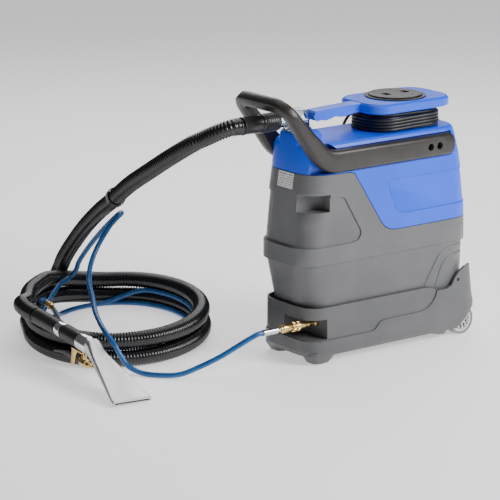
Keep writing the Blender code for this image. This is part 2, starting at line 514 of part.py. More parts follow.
# Rocker switches on the back of the upper body, and the cord's strain relief
SWITCH_Z = 0.452
back_x = 0.2868
plate = prism("switch_plate", [(0.2907, SWITCH_Z - 0.024), (0.2896, 0.437), (0.2820, SWITCH_Z + 0.024),
                               (0.2885, SWITCH_Z + 0.024), (0.2960, 0.437), (0.2971, SWITCH_Z - 0.024)],
              -0.032, 0.032, BLACK)
boolean(plate, [box(f"rocker_seat_{name}", (back_x, y - 0.0095, SWITCH_Z - 0.0155),
                    (back_x + 0.02, y + 0.0095, SWITCH_Z + 0.0155))
                for name, y in (("pump", -0.0145), ("vacuum", 0.0145))])
for name, y in (("pump", -0.0145), ("vacuum", 0.0145)):
    profile = [(back_x + 0.0030, SWITCH_Z - 0.0040), (back_x + 0.0030, SWITCH_Z + 0.0040),
               (back_x + 0.0110, SWITCH_Z + 0.0120), (back_x + 0.0085, SWITCH_Z), (back_x + 0.0085, SWITCH_Z - 0.0120)]
    rocker = prism(f"{name}_switch", profile, y - 0.0085, y + 0.0085, BLACK)
    pivot(rocker, (back_x + 0.0050, y, SWITCH_Z))

# Power cord: wound round the spool, led down the back into its strain relief, with the plug on the far side
GLAND_AXIS = Vector((0.77, 0, 0.64)).normalized()
GLAND_FOOT = Vector((0.2915, 0.060, 0.430))
turned("cord_gland", [(0, 0), (0.0080, 0), (0.0080, 0.0045), (0.0065, 0.0060), (0.0050, 0.0260), (0, 0.0260)],
       GLAND_FOOT, GLAND_AXIS, RUBBER, 16)
COIL_HALF, COIL_WIDE = 0.117, 0.0750
winding = loft("power_cord_coil", [(LID_Z + 0.0012, CAP_X - COIL_HALF + 0.004, CAP_X + COIL_HALF - 0.004, 0.071, 0.052),
                                   (LID_Z + 0.008, CAP_X - COIL_HALF, CAP_X + COIL_HALF, COIL_WIDE, 0.056),
                                   (0.598, CAP_X - COIL_HALF, CAP_X + COIL_HALF, COIL_WIDE, 0.056),
                                   (PLATE_LOW - 0.0012, CAP_X - COIL_HALF + 0.004, CAP_X + COIL_HALF - 0.004, 0.071,
                                    0.052)], BLACK, 6)
boolean(winding, [loft("winding_bore", [(0.54, SPOOL[0] - GAP, SPOOL[1] + GAP, SPOOL[2] + GAP, SPOOL[3] + GAP),
                                        (0.62, SPOOL[0] - GAP, SPOOL[1] + GAP, SPOOL[2] + GAP, SPOOL[3] + GAP)],
                       None, 7)])
LEAD = [GLAND_FOOT + 0.0263 * GLAND_AXIS, GLAND_FOOT + 0.040 * GLAND_AXIS, (0.3255, 0.060, 0.476),
        (0.3200, 0.056, 0.510), (0.3030, 0.050, 0.542), (0.2800, 0.046, 0.566), (0.2580, 0.046, 0.580),
        (0.2420, 0.050, 0.586)]
tube("power_cord_lead", LEAD, CORD_DIAMETER, BLACK, 1.8)
TAIL = [(0.120, 0.0800, 0.592), (0.095, 0.0815, 0.592), (0.074, 0.0930, 0.588), (0.060, 0.1110, 0.573),
        (0.053, 0.1270, 0.545), (0.050, 0.1345, 0.510), (0.050, 0.1370, 0.470), (0.050, 0.1370, 0.430),
        (0.050, 0.1370, 0.4000)]
tube("power_cord_tail", TAIL, CORD_DIAMETER, BLACK, 1.8)
plug = loft("power_plug", [(0.344, 0.0370, 0.0630, 0.0135, 0.006), (0.3500, 0.0355, 0.0645, 0.0150, 0.007),
                           (0.3720, 0.0360, 0.0640, 0.0145, 0.007), (0.3860, 0.0420, 0.0580, 0.0085, 0.007),
                           (0.3997, 0.0455, 0.0545, 0.0046, 0.0040)], BLACK, 3, y=0.137)
blades = [box(f"blade_{i}", (x - 0.0008, 0.1335, 0.326), (x + 0.0008, 0.1398, 0.346))
          for i, x in enumerate((0.0437, 0.0563))]
boolean(plug, blades + [rod("earth_pin", (0.050, 0.1460, 0.324), Z, 0.0024, 0.024, None, 12)], "UNION")

# Vacuum hose: boot and cuff on the inlet, a sagging span, two turns on the floor, then up to the tool
turned("hose_boot", [(0.0176, 0), (0.0215, 0), (0.0232, 0.004), (0.0236, 0.018), (0.0228, 0.040), (0.0240, 0.046),
                     (0.0240, 0.0535), (0.0176, 0.0535)], (-0.2600, 0, INLET_Z), -X, RUBBER, 24, ring=True)
turned("hose_cuff", [(0.0180, 0), (0.0226, 0), (0.0226, 0.010), (0.0222, 0.012), (0.0218, 0.050), (0.0228, 0.052),
                     (0.0228, 0.0553), (0.0180, 0.0553)], (-0.3138, 0, INLET_Z), -X, RUBBER, 24, ring=True)
COIL_MIDDLE = Vector((-0.439, 0.445, 0))
ACROSS, AWAY = Vector((0.8, -0.6, 0)), Vector((0.6, 0.8, 0))
COIL_ACROSS, COIL_AWAY = 0.222, 0.305
RING_SECTION = [(-0.046, 0.0120), (-0.034, 0.0005), (0.012, 0.0005), (0.0235, 0.0120), (0.0235, 0.0760),
                (0.012, 0.0885), (-0.034, 0.0885), (-0.046, 0.0760)]


def coil_point(turn, out, z):
    """A point on the oval of the floor coil, turned by degrees, and out from the middle of the hose."""
    angle = math.radians(turn)
    return (COIL_MIDDLE + (COIL_ACROSS + out) * math.cos(angle) * ACROSS
            + (COIL_AWAY + out) * math.sin(angle) * AWAY + z * Z)


bm = bmesh.new()
loops = [[bm.verts.new(coil_point(turn, out, z)) for out, z in RING_SECTION] for turn in range(0, 360, 10)]
for i, ring in enumerate(loops):
    following = loops[(i + 1) % len(loops)]
    for j, corner in enumerate(ring):
        k = (j + 1) % len(ring)
        bm.faces.new((corner, ring[k], following[k], following[j]))
solid("hose_coil", bm, RUBBER)
SPAN = [(-0.3714, 0.000, 0.611), (-0.3970, 0.001, 0.6106), (-0.4230, 0.021, 0.5990), (-0.4430, 0.052, 0.5810),
        (-0.4600, 0.082, 0.5630), (-0.4720, 0.150, 0.5230), (-0.4720, 0.238, 0.4740), (-0.4600, 0.349, 0.4160),
        (-0.4480, 0.448, 0.3550), (-0.4360, 0.522, 0.3130), (-0.4260, 0.600, 0.2600), (-0.4170, 0.672, 0.2020),
        (-0.4130, 0.730, 0.1450), (-0.4110, 0.767, 0.0960), coil_point(137.5, 0.0540, 0.0540),
        coil_point(144, 0.0480, 0.0290), coil_point(151, 0.0470, 0.0226)]
HOSE_SPACING = 0.6
tube("vacuum_hose", SPAN, HOSE_DIAMETER, RUBBER, HOSE_SPACING)
WAND_END = Vector((-0.726, 0.376, 0.112))
WAND_AIM = (Vector((-0.7225, 0.140, 0.0865)) - WAND_END).normalized()
HOSE_END = [(-0.5950, 0.606, 0.1112), (-0.6350, 0.560, 0.1120), (-0.6720, 0.508, 0.1135),
            WAND_END - 0.085 * WAND_AIM + Vector((0.010, 0, 0)), WAND_END - 0.040 * WAND_AIM,
            WAND_END - 0.0020 * WAND_AIM]
tube("hose_tail", HOSE_END, HOSE_DIAMETER, RUBBER, HOSE_SPACING)

# Solution line: along the floor, over the coil, up to the clip on the hose and back down into the coil
LINE = [(LINE_START - 0.0012, COUPLING_Y, COUPLING_Z), (-0.3640, -0.060, 0.1004), (-0.3850, -0.055, 0.0910),
        (-0.4100, -0.045, 0.0765), (-0.4530, -0.025, 0.0500), (-0.4950, 0.000, 0.0270), (-0.5400, 0.020, 0.0110),
        (-0.5780, 0.053, 0.0075), (-0.6030, 0.092, 0.0080), (-0.6240, 0.121, 0.0220), (-0.6360, 0.138, 0.0480),
        (-0.6450, 0.153, 0.0760), (-0.6480, 0.185, 0.0985), (-0.6320, 0.232, 0.1080), (-0.6020, 0.300, 0.1200),
        (-0.5740, 0.356, 0.1430), (-0.5560, 0.396, 0.1680), (-0.5320, 0.424, 0.2020), (-0.4990, 0.440, 0.2430),
        (-0.4620, 0.442, 0.2880), (-0.4380, 0.440, 0.3100), (-0.4200, 0.446, 0.3180), (-0.4120, 0.468, 0.3120),
        (-0.4140, 0.500, 0.2880), (-0.4200, 0.545, 0.2480), (-0.4220, 0.600, 0.1980), (-0.4160, 0.655, 0.1480),
        (-0.4095, 0.678, 0.1220), (-0.4130, 0.691, 0.1050), (-0.4270, 0.6905, 0.0970)]
tube("solution_line", LINE, LINE_DIAMETER, HOSE_BLUE, 2.0)
FITTING_AXIS = Vector((-0.22, -0.97, -0.05)).normalized()
FITTING_START = Vector((-0.6640, 0.425, 0.1235))
tube("solution_line_end", [(-0.6120, 0.5350, 0.0970), (-0.6300, 0.4950, 0.1010), (-0.6480, 0.4600, 0.1130),
                           FITTING_START - 0.014 * FITTING_AXIS, FITTING_START - 0.0024 * FITTING_AXIS],
     LINE_DIAMETER, HOSE_BLUE, 2.0)
turned("line_fitting", [(0, 0), (0.0080, 0), (0.0080, 0.014), (0.0095, 0.0150), (0.0095, 0.0260), (0.0065, 0.0270),
                        (0.0065, 0.0360), (0, 0.0360)], FITTING_START, FITTING_AXIS, BRASS, 16)
clip_from, clip_to = min(zip(smooth_route(SPAN, HOSE_SPACING * HOSE_DIAMETER),
                             smooth_route(SPAN, HOSE_SPACING * HOSE_DIAMETER)[1:]),
                         key=lambda pair: abs((pair[0].y + pair[1].y) / 2 - 0.425))
CLIP_AXIS = (clip_to - clip_from).normalized()
turned("hose_clip", [(0.0228, 0), (0.0256, 0), (0.0256, 0.014), (0.0228, 0.014)],
       (clip_from + clip_to) / 2 - 0.007 * CLIP_AXIS, CLIP_AXIS, BLACK, 20, ring=True)


# Hand tool, built along its own axis
def on_wand(along, low=0.0, side=0.0):
    """A point of the hand tool: along its tube, towards the floor from it, and to its -X side."""
    return WAND_END + along * WAND_AIM + low * WAND_LOW + side * WAND_SIDE


WAND_SIDE = WAND_AIM.cross(Z).normalized()
WAND_LOW = WAND_SIDE.cross(WAND_AIM).normalized() * -1
TUBE_LENGTH = 0.240
turned("wand_tube", [(0.0145, 0), (0.0163, 0), (0.0163, 0.1002), (0.0192, 0.1012), (0.0192, 0.1215), (0.0163, 0.1225),
                     (0.0163, 0.1970), (0.0210, 0.1975), (0.0220, 0.2000), (0.0220, 0.2320), (0.0205, 0.2350),
                     (0.0205, TUBE_LENGTH), (0.0145, TUBE_LENGTH)], on_wand(0), WAND_AIM, STEEL, 28, ring=True)
turned("rear_grip", [(0.0167, 0), (0.0195, 0), (0.0208, 0.004), (0.0200, 0.030), (0.0206, 0.060), (0.0206, 0.096),
                     (0.0190, 0.099), (0.0167, 0.099)], on_wand(0.0008), WAND_AIM, RUBBER, 24, ring=True)
turned("front_grip", [(0.0167, 0), (0.0195, 0), (0.0206, 0.003), (0.0200, 0.020), (0.0206, 0.040), (0.0206, 0.067),
                      (0.0190, 0.070), (0.0167, 0.070)], on_wand(0.1250), WAND_AIM, RUBBER, 24, ring=True)
HEAD_START = on_wand(TUBE_LENGTH + 0.0003)
LIP = Vector((-0.755, -0.087, 0.0080))
HEAD_AIM = (LIP - HEAD_START).normalized()
HEAD_LENGTH = (LIP - HEAD_START).length
HEAD_ACROSS = HEAD_AIM.cross(Z).normalized()
HEAD_FACE = HEAD_ACROSS.cross(HEAD_AIM).normalized()
HEAD = [(0.0, WAND_AIM, 0.0200, 0.0200), (0.012, WAND_AIM, 0.0200, 0.0195), (0.036, None, 0.0205, 0.0130),
        (0.052, None, 0.0225, 0.0095), (HEAD_LENGTH - 0.030, None, 0.0470, 0.0048),
        (HEAD_LENGTH - 0.010, None, 0.0505, 0.0045), (HEAD_LENGTH - 0.008, None, 0.0510, 0.0062),
        (HEAD_LENGTH, None, 0.0510, 0.0062)]
rings = []
for along, lean, half_width, half_depth in HEAD:
    across = WAND_SIDE if lean else HEAD_ACROSS
    face = across.cross(lean or HEAD_AIM).normalized()
    rings.append((HEAD_START + along * (lean or HEAD_AIM), across, face, half_width, half_depth))
bm = bmesh.new()
skin(bm, swept(rings, corner=0.017))
head = solid("wand_head", bm, STEEL)
slot = [(HEAD_START + along * HEAD_AIM, HEAD_ACROSS, HEAD_FACE, 0.0465, 0.0022)
        for along in (HEAD_LENGTH - 0.026, HEAD_LENGTH + 0.01)]
bm = bmesh.new()
skin(bm, swept(slot, corner=0.001, steps=1))
boolean(head, [solid("head_slot", bm)])

# Spray jet on a boss under the head
JET_FOOT = HEAD_START + 0.118 * HEAD_AIM - 0.0150 * HEAD_FACE
boolean(head, [turned("spray_jet", [(0, 0), (0.0055, 0), (0.0055, 0.010), (0.0040, 0.011), (0.0040, 0.018), (0, 0.018)],
                      JET_FOOT, HEAD_AIM, None, 6),
               rod("jet_boss", JET_FOOT + 0.005 * HEAD_AIM, HEAD_FACE, 0.0040, 0.0135, None, 12)], "UNION")

# Spray valve under the collar, with the cheeks and pin that carry the trigger
VALVE_LOW, PIN_ALONG, PIN_LOW = 0.0500, 0.1790, 0.0600
valve = turned("spray_valve", [(0, 0), (0.0080, 0), (0.0080, 0.0060), (0.0105, 0.0070), (0.0105, 0.0300),
                               (0.0070, 0.0310), (0.0070, 0.0440), (0, 0.0440)], on_wand(0.1960, VALVE_LOW), WAND_AIM,
               BRASS, 6)


def wand_plate(name, outline_points, side0, side1, finish=None):
    """A plate with an (along, low) outline on the hand tool, from one distance to its side to another."""
    bm = bmesh.new()
    skin(bm, [[on_wand(along, low, side) for along, low in outline_points] for side in (side0, side1)])
    return solid(name, bm, finish, smooth=False)


CHEEK = [(0.1750, 0.0232), (0.1990, 0.0232), (0.1900, 0.0400), (0.1850, 0.0640), (0.1735, 0.0640), (0.1745, 0.0400)]
boolean(valve, [
    rod("valve_stem", on_wand(0.2170, VALVE_LOW - 0.004), -WAND_LOW, 0.0055, 0.0222, None, 12),
    wand_plate("valve_bridge", [(0.1740, 0.0225), (0.2180, 0.0225), (0.2180, 0.0255), (0.1740, 0.0255)], -0.0118, 0.0118),
    wand_plate("cheek_near", CHEEK, -0.0112, -0.0087), wand_plate("cheek_far", CHEEK, 0.0087, 0.0112),
    rod("trigger_pin", on_wand(PIN_ALONG, PIN_LOW, -0.0100), WAND_SIDE, 0.0016, 0.0200, None, 12)], "UNION")
boolean(valve, [rod("plunger_bore", on_wand(0.1900, VALVE_LOW), WAND_AIM, 0.0034, 0.0180, None, 12)])
plunger = rod("valve_plunger", on_wand(0.1880, VALVE_LOW), WAND_AIM, 0.0029, 0.0160, STEEL, 12)
pivot(plunger, on_wand(0.1880, VALVE_LOW))
TRIGGER = [(0.1735, 0.0650), (0.1845, 0.0650), (0.1868, 0.0600), (0.1868, 0.0440), (0.1835, 0.0430),
           (0.1750, 0.0480), (0.1300, 0.0500), (0.0900, 0.0590), (0.0895, 0.0635), (0.1300, 0.0560),
           (0.1700, 0.0580)]
trigger = wand_plate("trigger", TRIGGER, -0.0065, 0.0065, BLACK)
boolean(trigger, [rod("trigger_bore", on_wand(PIN_ALONG, PIN_LOW, -0.02), WAND_SIDE, 0.0019, 0.04, None, 12)])
pivot(trigger, on_wand(PIN_ALONG, PIN_LOW))
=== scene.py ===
"""Spot extractor: the looks of the tilting-tank cleaner, its hoses, its cord and its hand tool.

+X points to the wheels, -Y to the side with the water coupling, +Z up; metres.
"""

import json
import math
import random

import bmesh
import bpy
from mathutils import Matrix, Vector
from mathutils.bvhtree import BVHTree

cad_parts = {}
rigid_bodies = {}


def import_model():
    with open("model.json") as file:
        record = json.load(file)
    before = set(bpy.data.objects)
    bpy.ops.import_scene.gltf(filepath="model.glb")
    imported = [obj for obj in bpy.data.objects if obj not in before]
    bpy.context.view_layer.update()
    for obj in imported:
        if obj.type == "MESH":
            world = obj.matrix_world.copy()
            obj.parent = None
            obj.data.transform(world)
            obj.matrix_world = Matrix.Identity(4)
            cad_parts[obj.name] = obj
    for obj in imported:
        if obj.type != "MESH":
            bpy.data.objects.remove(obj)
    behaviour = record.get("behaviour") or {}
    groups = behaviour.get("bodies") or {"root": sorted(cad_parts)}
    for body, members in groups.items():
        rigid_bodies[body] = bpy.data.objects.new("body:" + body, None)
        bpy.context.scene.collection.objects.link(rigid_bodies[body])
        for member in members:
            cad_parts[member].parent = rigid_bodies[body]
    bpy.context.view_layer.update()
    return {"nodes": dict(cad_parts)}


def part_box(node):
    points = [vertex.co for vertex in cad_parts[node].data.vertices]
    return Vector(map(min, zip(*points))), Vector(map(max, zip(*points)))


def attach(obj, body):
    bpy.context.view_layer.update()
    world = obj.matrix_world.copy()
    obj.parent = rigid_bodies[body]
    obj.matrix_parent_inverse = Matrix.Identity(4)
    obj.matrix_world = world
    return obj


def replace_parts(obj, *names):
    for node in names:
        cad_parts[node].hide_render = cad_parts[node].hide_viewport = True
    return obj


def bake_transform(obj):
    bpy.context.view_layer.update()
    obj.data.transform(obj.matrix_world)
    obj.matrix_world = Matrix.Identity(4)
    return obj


for leftover in list(bpy.data.objects):
    bpy.data.objects.remove(leftover)
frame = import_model()
X, Y, Z = Vector((1, 0, 0)), Vector((0, 1, 0)), Vector((0, 0, 1))

# Floor, light and camera: a pale studio floor, a large soft key from the coupling side, a weaker light from
# above and one from behind. The front of the machine stays in shade.
floor_shape = bmesh.new()
bmesh.ops.create_grid(floor_shape, x_segments=1, y_segments=1, size=30)
floor_mesh = bpy.data.meshes.new("floor")
floor_shape.to_mesh(floor_mesh)
floor_shape.free()
floor = bpy.data.objects.new("floor", floor_mesh)
bpy.context.scene.collection.objects.link(floor)
floor_paint = bpy.data.materials.new("white_floor")
floor_paint.use_nodes = True
floor_shader = floor_paint.node_tree.nodes["Principled BSDF"]
floor_shader.inputs["Base Color"].default_value = (0.92, 0.92, 0.92, 1)
floor_shader.inputs["Roughness"].default_value = 0.75
floor_shader.inputs["Emission Color"].default_value = (1, 1, 1, 1)
floor_shader.inputs["Emission Strength"].default_value = 0.62
floor_mesh.materials.append(floor_paint)


def soft_light(name, place, aim, width, height, power, colour=(1, 1, 1)):
    """A rectangular soft box at a place, turned to face the aim."""
    lamp = bpy.data.lights.new(name, "AREA")
    lamp.shape = "RECTANGLE"
    lamp.size, lamp.size_y = width, height
    lamp.energy = power
    lamp.color = colour
    held = bpy.data.objects.new(name, lamp)
    held.location = place
    held.rotation_euler = (Vector(aim) - Vector(place)).to_track_quat("-Z", "Y").to_euler()
    bpy.context.scene.collection.objects.link(held)


MIDDLE = (-0.10, 0.15, 0.30)
soft_light("key", (1.7, -3.3, 2.3), MIDDLE, 2.0, 1.8, 215)
soft_light("top", (0.2, 0.3, 3.4), MIDDLE, 2.4, 2.4, 40)
soft_light("back", (1.5, 2.5, 2.7), MIDDLE, 2.8, 2.2, 64)
world = bpy.data.worlds.new("studio")
world.use_nodes = True
world.node_tree.nodes["Background"].inputs["Color"].default_value = (0.92, 0.95, 1.0, 1)
world.node_tree.nodes["Background"].inputs["Strength"].default_value = 0.12
bpy.context.scene.world = world

lens = bpy.data.cameras.new("camera")
lens.lens = 186.84
lens.sensor_width = 36.0
lens.clip_end = 200
camera = bpy.data.objects.new("camera", lens)
camera.location = (-4.054, -4.9439, 1.8514)
camera.rotation_euler = (math.radians(75.9), 0, math.radians(-36.9))
bpy.context.scene.collection.objects.link(camera)
bpy.context.scene.camera = camera


# Base housing: a thick grey polyethylene tray, rotationally moulded, with a raised foot at each front corner
# and a stepped recess along each side. Its edges are softly rounded and its skin has a fine pebbled grain.
def grain_group():
    """Two tones in slow blotches, a pebbled skin, and a gloss that varies from place to place."""
    group = bpy.data.node_groups.new("moulded_skin", "ShaderNodeTree")
    for name, kind, value in (("Tone", "NodeSocketColor", (0.2, 0.2, 0.2, 1)),
                              ("Second tone", "NodeSocketColor", (0.3, 0.3, 0.3, 1)),
                              ("Blotch scale", "NodeSocketFloat", 9.0),
                              ("Grain scale", "NodeSocketFloat", 900.0),
                              ("Grain depth", "NodeSocketFloat", 0.1),
                              ("Low gloss", "NodeSocketFloat", 0.5),
                              ("High gloss", "NodeSocketFloat", 0.4)):
        group.interface.new_socket(name, in_out="INPUT", socket_type=kind).default_value = value
    group.interface.new_socket("Colour", in_out="OUTPUT", socket_type="NodeSocketColor")
    group.interface.new_socket("Roughness", in_out="OUTPUT", socket_type="NodeSocketFloat")
    group.interface.new_socket("Normal", in_out="OUTPUT", socket_type="NodeSocketVector")
    nodes, link = group.nodes, group.links.new
    given, out = nodes.new("NodeGroupInput"), nodes.new("NodeGroupOutput")
    place = nodes.new("ShaderNodeTexCoord")
    blotch, pebble, dust = (nodes.new("ShaderNodeTexNoise") for _ in range(3))
    blotch.inputs["Detail"].default_value = 5
    pebble.inputs["Detail"].default_value = 2
    dust.inputs["Scale"].default_value = 60
    dust.inputs["Detail"].default_value = 6
    for pattern in (blotch, pebble, dust):
        link(place.outputs["Object"], pattern.inputs["Vector"])
    link(given.outputs["Blotch scale"], blotch.inputs["Scale"])
    link(given.outputs["Grain scale"], pebble.inputs["Scale"])
    spread = nodes.new("ShaderNodeMapRange")
    spread.inputs["From Min"].default_value, spread.inputs["From Max"].default_value = 0.35, 0.68
    link(blotch.outputs["Fac"], spread.inputs["Value"])
    tones = nodes.new("ShaderNodeMix")
    tones.data_type = "RGBA"
    link(spread.outputs["Result"], tones.inputs["Factor"])
    link(given.outputs["Tone"], tones.inputs["A"])
    link(given.outputs["Second tone"], tones.inputs["B"])
    link(tones.outputs["Result"], out.inputs["Colour"])
    gloss = nodes.new("ShaderNodeMapRange")
    gloss.inputs["From Min"].default_value, gloss.inputs["From Max"].default_value = 0.35, 0.65
    link(dust.outputs["Fac"], gloss.inputs["Value"])
    link(given.outputs["Low gloss"], gloss.inputs["To Min"])
    link(given.outputs["High gloss"], gloss.inputs["To Max"])
    link(gloss.outputs["Result"], out.inputs["Roughness"])
    bump = nodes.new("ShaderNodeBump")
    bump.inputs["Distance"].default_value = 0.0004
    link(given.outputs["Grain depth"], bump.inputs["Strength"])
    link(pebble.outputs["Fac"], bump.inputs["Height"])
    link(bump.outputs["Normal"], out.inputs["Normal"])
    return group


SKIN = grain_group()


def finish(name, tone, second, gloss, grain=(900, 0.15), blotch=9.0, metallic=0.0, coat=0.0):
    """A material on the moulded skin: two tones, a gloss range (low, high) and a grain (scale, depth)."""
    made = bpy.data.materials.new(name)
    made.use_nodes = True
    nodes, link = made.node_tree.nodes, made.node_tree.links.new
    shader = nodes["Principled BSDF"]
    shader.inputs["Metallic"].default_value = metallic
    shader.inputs["Coat Weight"].default_value = coat
    shader.inputs["Coat Roughness"].default_value = 0.08
    skin = nodes.new("ShaderNodeGroup")
    skin.node_tree = SKIN
    for socket, value in (("Tone", (*tone, 1)), ("Second tone", (*second, 1)), ("Blotch scale", blotch),
                          ("Grain scale", grain[0]), ("Grain depth", grain[1]), ("Low gloss", gloss[0]),
                          ("High gloss", gloss[1])):
        skin.inputs[socket].default_value = value
    link(skin.outputs["Colour"], shader.inputs["Base Color"])
    link(skin.outputs["Roughness"], shader.inputs["Roughness"])
    link(skin.outputs["Normal"], shader.inputs["Normal"])
    return made


def piece(name, shape, paint, body, crease=32):
    """Turns a bmesh into a shown piece that rides on a body, with its sharp edges kept."""
    mesh = bpy.data.meshes.new(name)
    shape.to_mesh(mesh)
    shape.free()
    mesh.materials.append(paint)
    mesh.shade_smooth()
    mesh.set_sharp_from_angle(angle=math.radians(crease))
    made = bpy.data.objects.new(name, mesh)
    bpy.context.scene.collection.objects.link(made)
    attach(made, body)
    return made


def eased(made, width, segments=2, angle=32):
    """Rounds a piece's sharp edges, and keeps its large faces flat to the light."""
    bevel = made.modifiers.new("eased_edges", "BEVEL")
    bevel.width = width
    bevel.segments = segments
    bevel.limit_method = "ANGLE"
    bevel.angle_limit = math.radians(angle)
    bevel.harden_normals = True
    bevel.use_clamp_overlap = True


WELD_GAP = 2e-5
FLAT_ANGLE = math.radians(0.6)


def moulded(node, paint, body, edge=0.0, segments=2, crease=32):
    """A piece with the frame's own shape for a node: welded, its flats joined and its edges rounded."""
    shape = bmesh.new()
    shape.from_mesh(frame["nodes"][node].data)
    bmesh.ops.remove_doubles(shape, verts=shape.verts, dist=WELD_GAP)
    bmesh.ops.dissolve_limit(shape, angle_limit=FLAT_ANGLE, verts=shape.verts, edges=shape.edges)
    made = piece(f"{node}_skin", shape, paint, body, crease)
    if edge:
        eased(made, edge, segments, crease)
    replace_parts(made, node)
    return made


GREY = finish("grey_polyethylene", (0.110, 0.111, 0.115), (0.135, 0.136, 0.140), (0.46, 0.34), (700, 0.35), 7)
BASE_GREY = finish("base_grey", (0.092, 0.093, 0.096), (0.115, 0.116, 0.119), (0.48, 0.36), (700, 0.35), 7)
moulded("base_housing", BASE_GREY, "base", 0.0022, 3, 30)
RUBBER_BLACK = finish("foot_rubber", (0.016, 0.016, 0.017), (0.026, 0.026, 0.026), (0.75, 0.6), (1500, 0.4),
                      40)
for side in ("right", "left"):
    moulded(f"foot_pad_{side}", RUBBER_BLACK, "base", 0.0006)


def spun(shape, profile, foot, axis, steps=32):
    """Spins a closed loop of (radius, distance along) points about an axis through the foot."""
    before = set(shape.verts)
    points = [shape.verts.new((radius, 0, along)) for radius, along in profile]
    edges = [shape.edges.new((p, q)) for p, q in zip(points, points[1:] + points[:1])]
    bmesh.ops.spin(shape, geom=points + edges, axis=Z, cent=(0, 0, 0), angle=math.tau, steps=steps,
                   use_merge=True)
    fresh = [vert for vert in shape.verts if vert not in before]
    turn = Z.rotation_difference(Vector(axis).normalized()).to_matrix().to_4x4()
    bmesh.ops.transform(shape, matrix=Matrix.Translation(Vector(foot)) @ turn, verts=fresh)
    bmesh.ops.remove_doubles(shape, verts=fresh, dist=1e-6)
    bmesh.ops.recalc_face_normals(shape, faces=shape.faces)


def disc_screw(shape, foot, axis, radius, height=0.0012):
    """A low domed screw head."""
    spun(shape, [(0, 0), (radius, 0), (radius * 0.96, height * 0.6), (radius * 0.6, height), (0, height)],
         foot, axis, 20)


def bar(shape, centre, size, turn=Matrix.Identity(3)):
    """A small block of a given size round a centre."""
    matrix = Matrix.Translation(centre) @ turn.to_4x4() @ Matrix.Diagonal((*size, 1))
    bmesh.ops.create_cube(shape, size=1.0, matrix=matrix)


# Wheels: cream plastic hubs, moulded with three rings of lightening holes, with grey rubber treads on them.
# Both turn on a plated steel axle under the back of the base.
ZINC = finish("zinc_plate", (0.42, 0.43, 0.45), (0.55, 0.56, 0.57), (0.42, 0.28), (2200, 0.1), 30, 1.0)
moulded("axle", ZINC, "base", 0.0005)
CREAM = finish("cream_plastic", (0.56, 0.56, 0.51), (0.64, 0.64, 0.59), (0.5, 0.38), (1300, 0.15), 25)
TREAD = finish("wheel_tread", (0.20, 0.20, 0.195), (0.27, 0.27, 0.26), (0.8, 0.65), (1100, 0.5), 30)
# Near-black paint for holes: painted shade that stands in for the dark inside of the hub holes and of the
# hinge-pin holes.
HOLE_SHADE_PAINT = finish("painted_hole_shade", (0.02, 0.02, 0.02), (0.035, 0.034, 0.033), (0.7, 0.6))
OUTSIDE = 0.3
HOLE_DEPTH = 0.0005
HOLE_RINGS = [(12, 0.0250, 0.0030), (10, 0.0180, 0.0036), (8, 0.0115, 0.0024)]


def faces_of(made):
    """A piece's own faces, ready to be met by a ray."""
    points = [vert.co for vert in made.data.vertices]
    return BVHTree.FromPolygons(points, [face.vertices for face in made.data.polygons])


for side, sign in (("right", -1), ("left", 1)):
    body = f"wheel_{side}_body"
    hub_faces = faces_of(moulded(f"wheel_{side}", CREAM, body, 0.0008))
    moulded(f"tyre_{side}", TREAD, body, 0.0022, 3)
    hub_low, hub_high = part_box(f"wheel_{side}")
    hub = (hub_low + hub_high) / 2
    # Each hole is a shallow near-black disc on the hub face: painted shade, not an opening.
    hole_shade_discs = bmesh.new()
    for count, reach, radius in HOLE_RINGS:
        rim = [(0, 0), (radius, 0), (radius, 0.0010), (radius * 0.8, 0.0010), (radius * 0.7, 0.0005),
               (0, 0.0005)]
        for step in range(count):
            turn = math.tau * (step + (reach < 0.020) / 2) / count
            over = Vector((hub.x + reach * math.cos(turn), sign * OUTSIDE, hub.z + reach * math.sin(turn)))
            foot = hub_faces.ray_cast(over, -sign * Y)[0]
            if foot:
                spun(hole_shade_discs, rim, foot - sign * HOLE_DEPTH * Y, sign * Y, 14)
    piece(f"hub_hole_shade_{side}", hole_shade_discs, HOLE_SHADE_PAINT, body)

# Solution tank: the lower grey moulding, with a belt, a recessed side panel, a finger pocket in the front
# corner and a pair of bent beads moulded along the rear of each side.
moulded("solution_tank", GREY, "upper", 0.0020, 3, 30)
# The hinge pins get the near-black hole paint: painted shade, so each pin reads as the dark hole it sits in.
for side in ("right", "left"):
    moulded(f"hinge_pin_{side}", HOLE_SHADE_PAINT, "base", 0.0005)
TANK_FORM = [(0.132, 0.2890, 0.0925, 0.055), (0.150, 0.2920, 0.0940, 0.056), (0.2535, 0.2955, 0.0985, 0.062),
             (0.2555, 0.3015, 0.1025, 0.064)]


def tank_side(x, z):
    """How far the tank's side wall stands from the middle plane at a point near its rear corner."""
    for low, high in zip(TANK_FORM, TANK_FORM[1:]):
        if z <= high[0]:
            break
    share = min(max((z - low[0]) / (high[0] - low[0]), 0), 1)
    rear, half, radius = (a + (b - a) * share for a, b in zip(low[1:], high[1:]))
    past = max(0.0, x - (rear - radius))
    return half - radius + math.sqrt(max(0.0, radius ** 2 - past ** 2))


def smooth_line(route, spacing):
    """Even points on a smooth curve through the route's own points."""
    points = [Vector(point) for point in route]
    ends = [2 * points[0] - points[1]] + points + [2 * points[-1] - points[-2]]
    dense = []
    for a, b, c, d in zip(ends, ends[1:], ends[2:], ends[3:]):
        for step in range(20):
            t = step / 20
            dense.append(0.5 * (2 * b + (c - a) * t + (2 * a - 5 * b + 4 * c - d) * t * t
                                + (3 * b - a - 3 * c + d) * t ** 3))
    dense.append(points[-1])
    length = sum((q - p).length for p, q in zip(dense, dense[1:]))
    count = max(2, round(length / spacing))
    even, walked, target = [dense[0]], 0.0, length / count
    for p, q in zip(dense, dense[1:]):
        run = (q - p).length
        while walked + run >= target and len(even) < count:
            even.append(p.lerp(q, (target - walked) / run))
            target += length / count
        walked += run
    even.append(dense[-1])
    return even, length


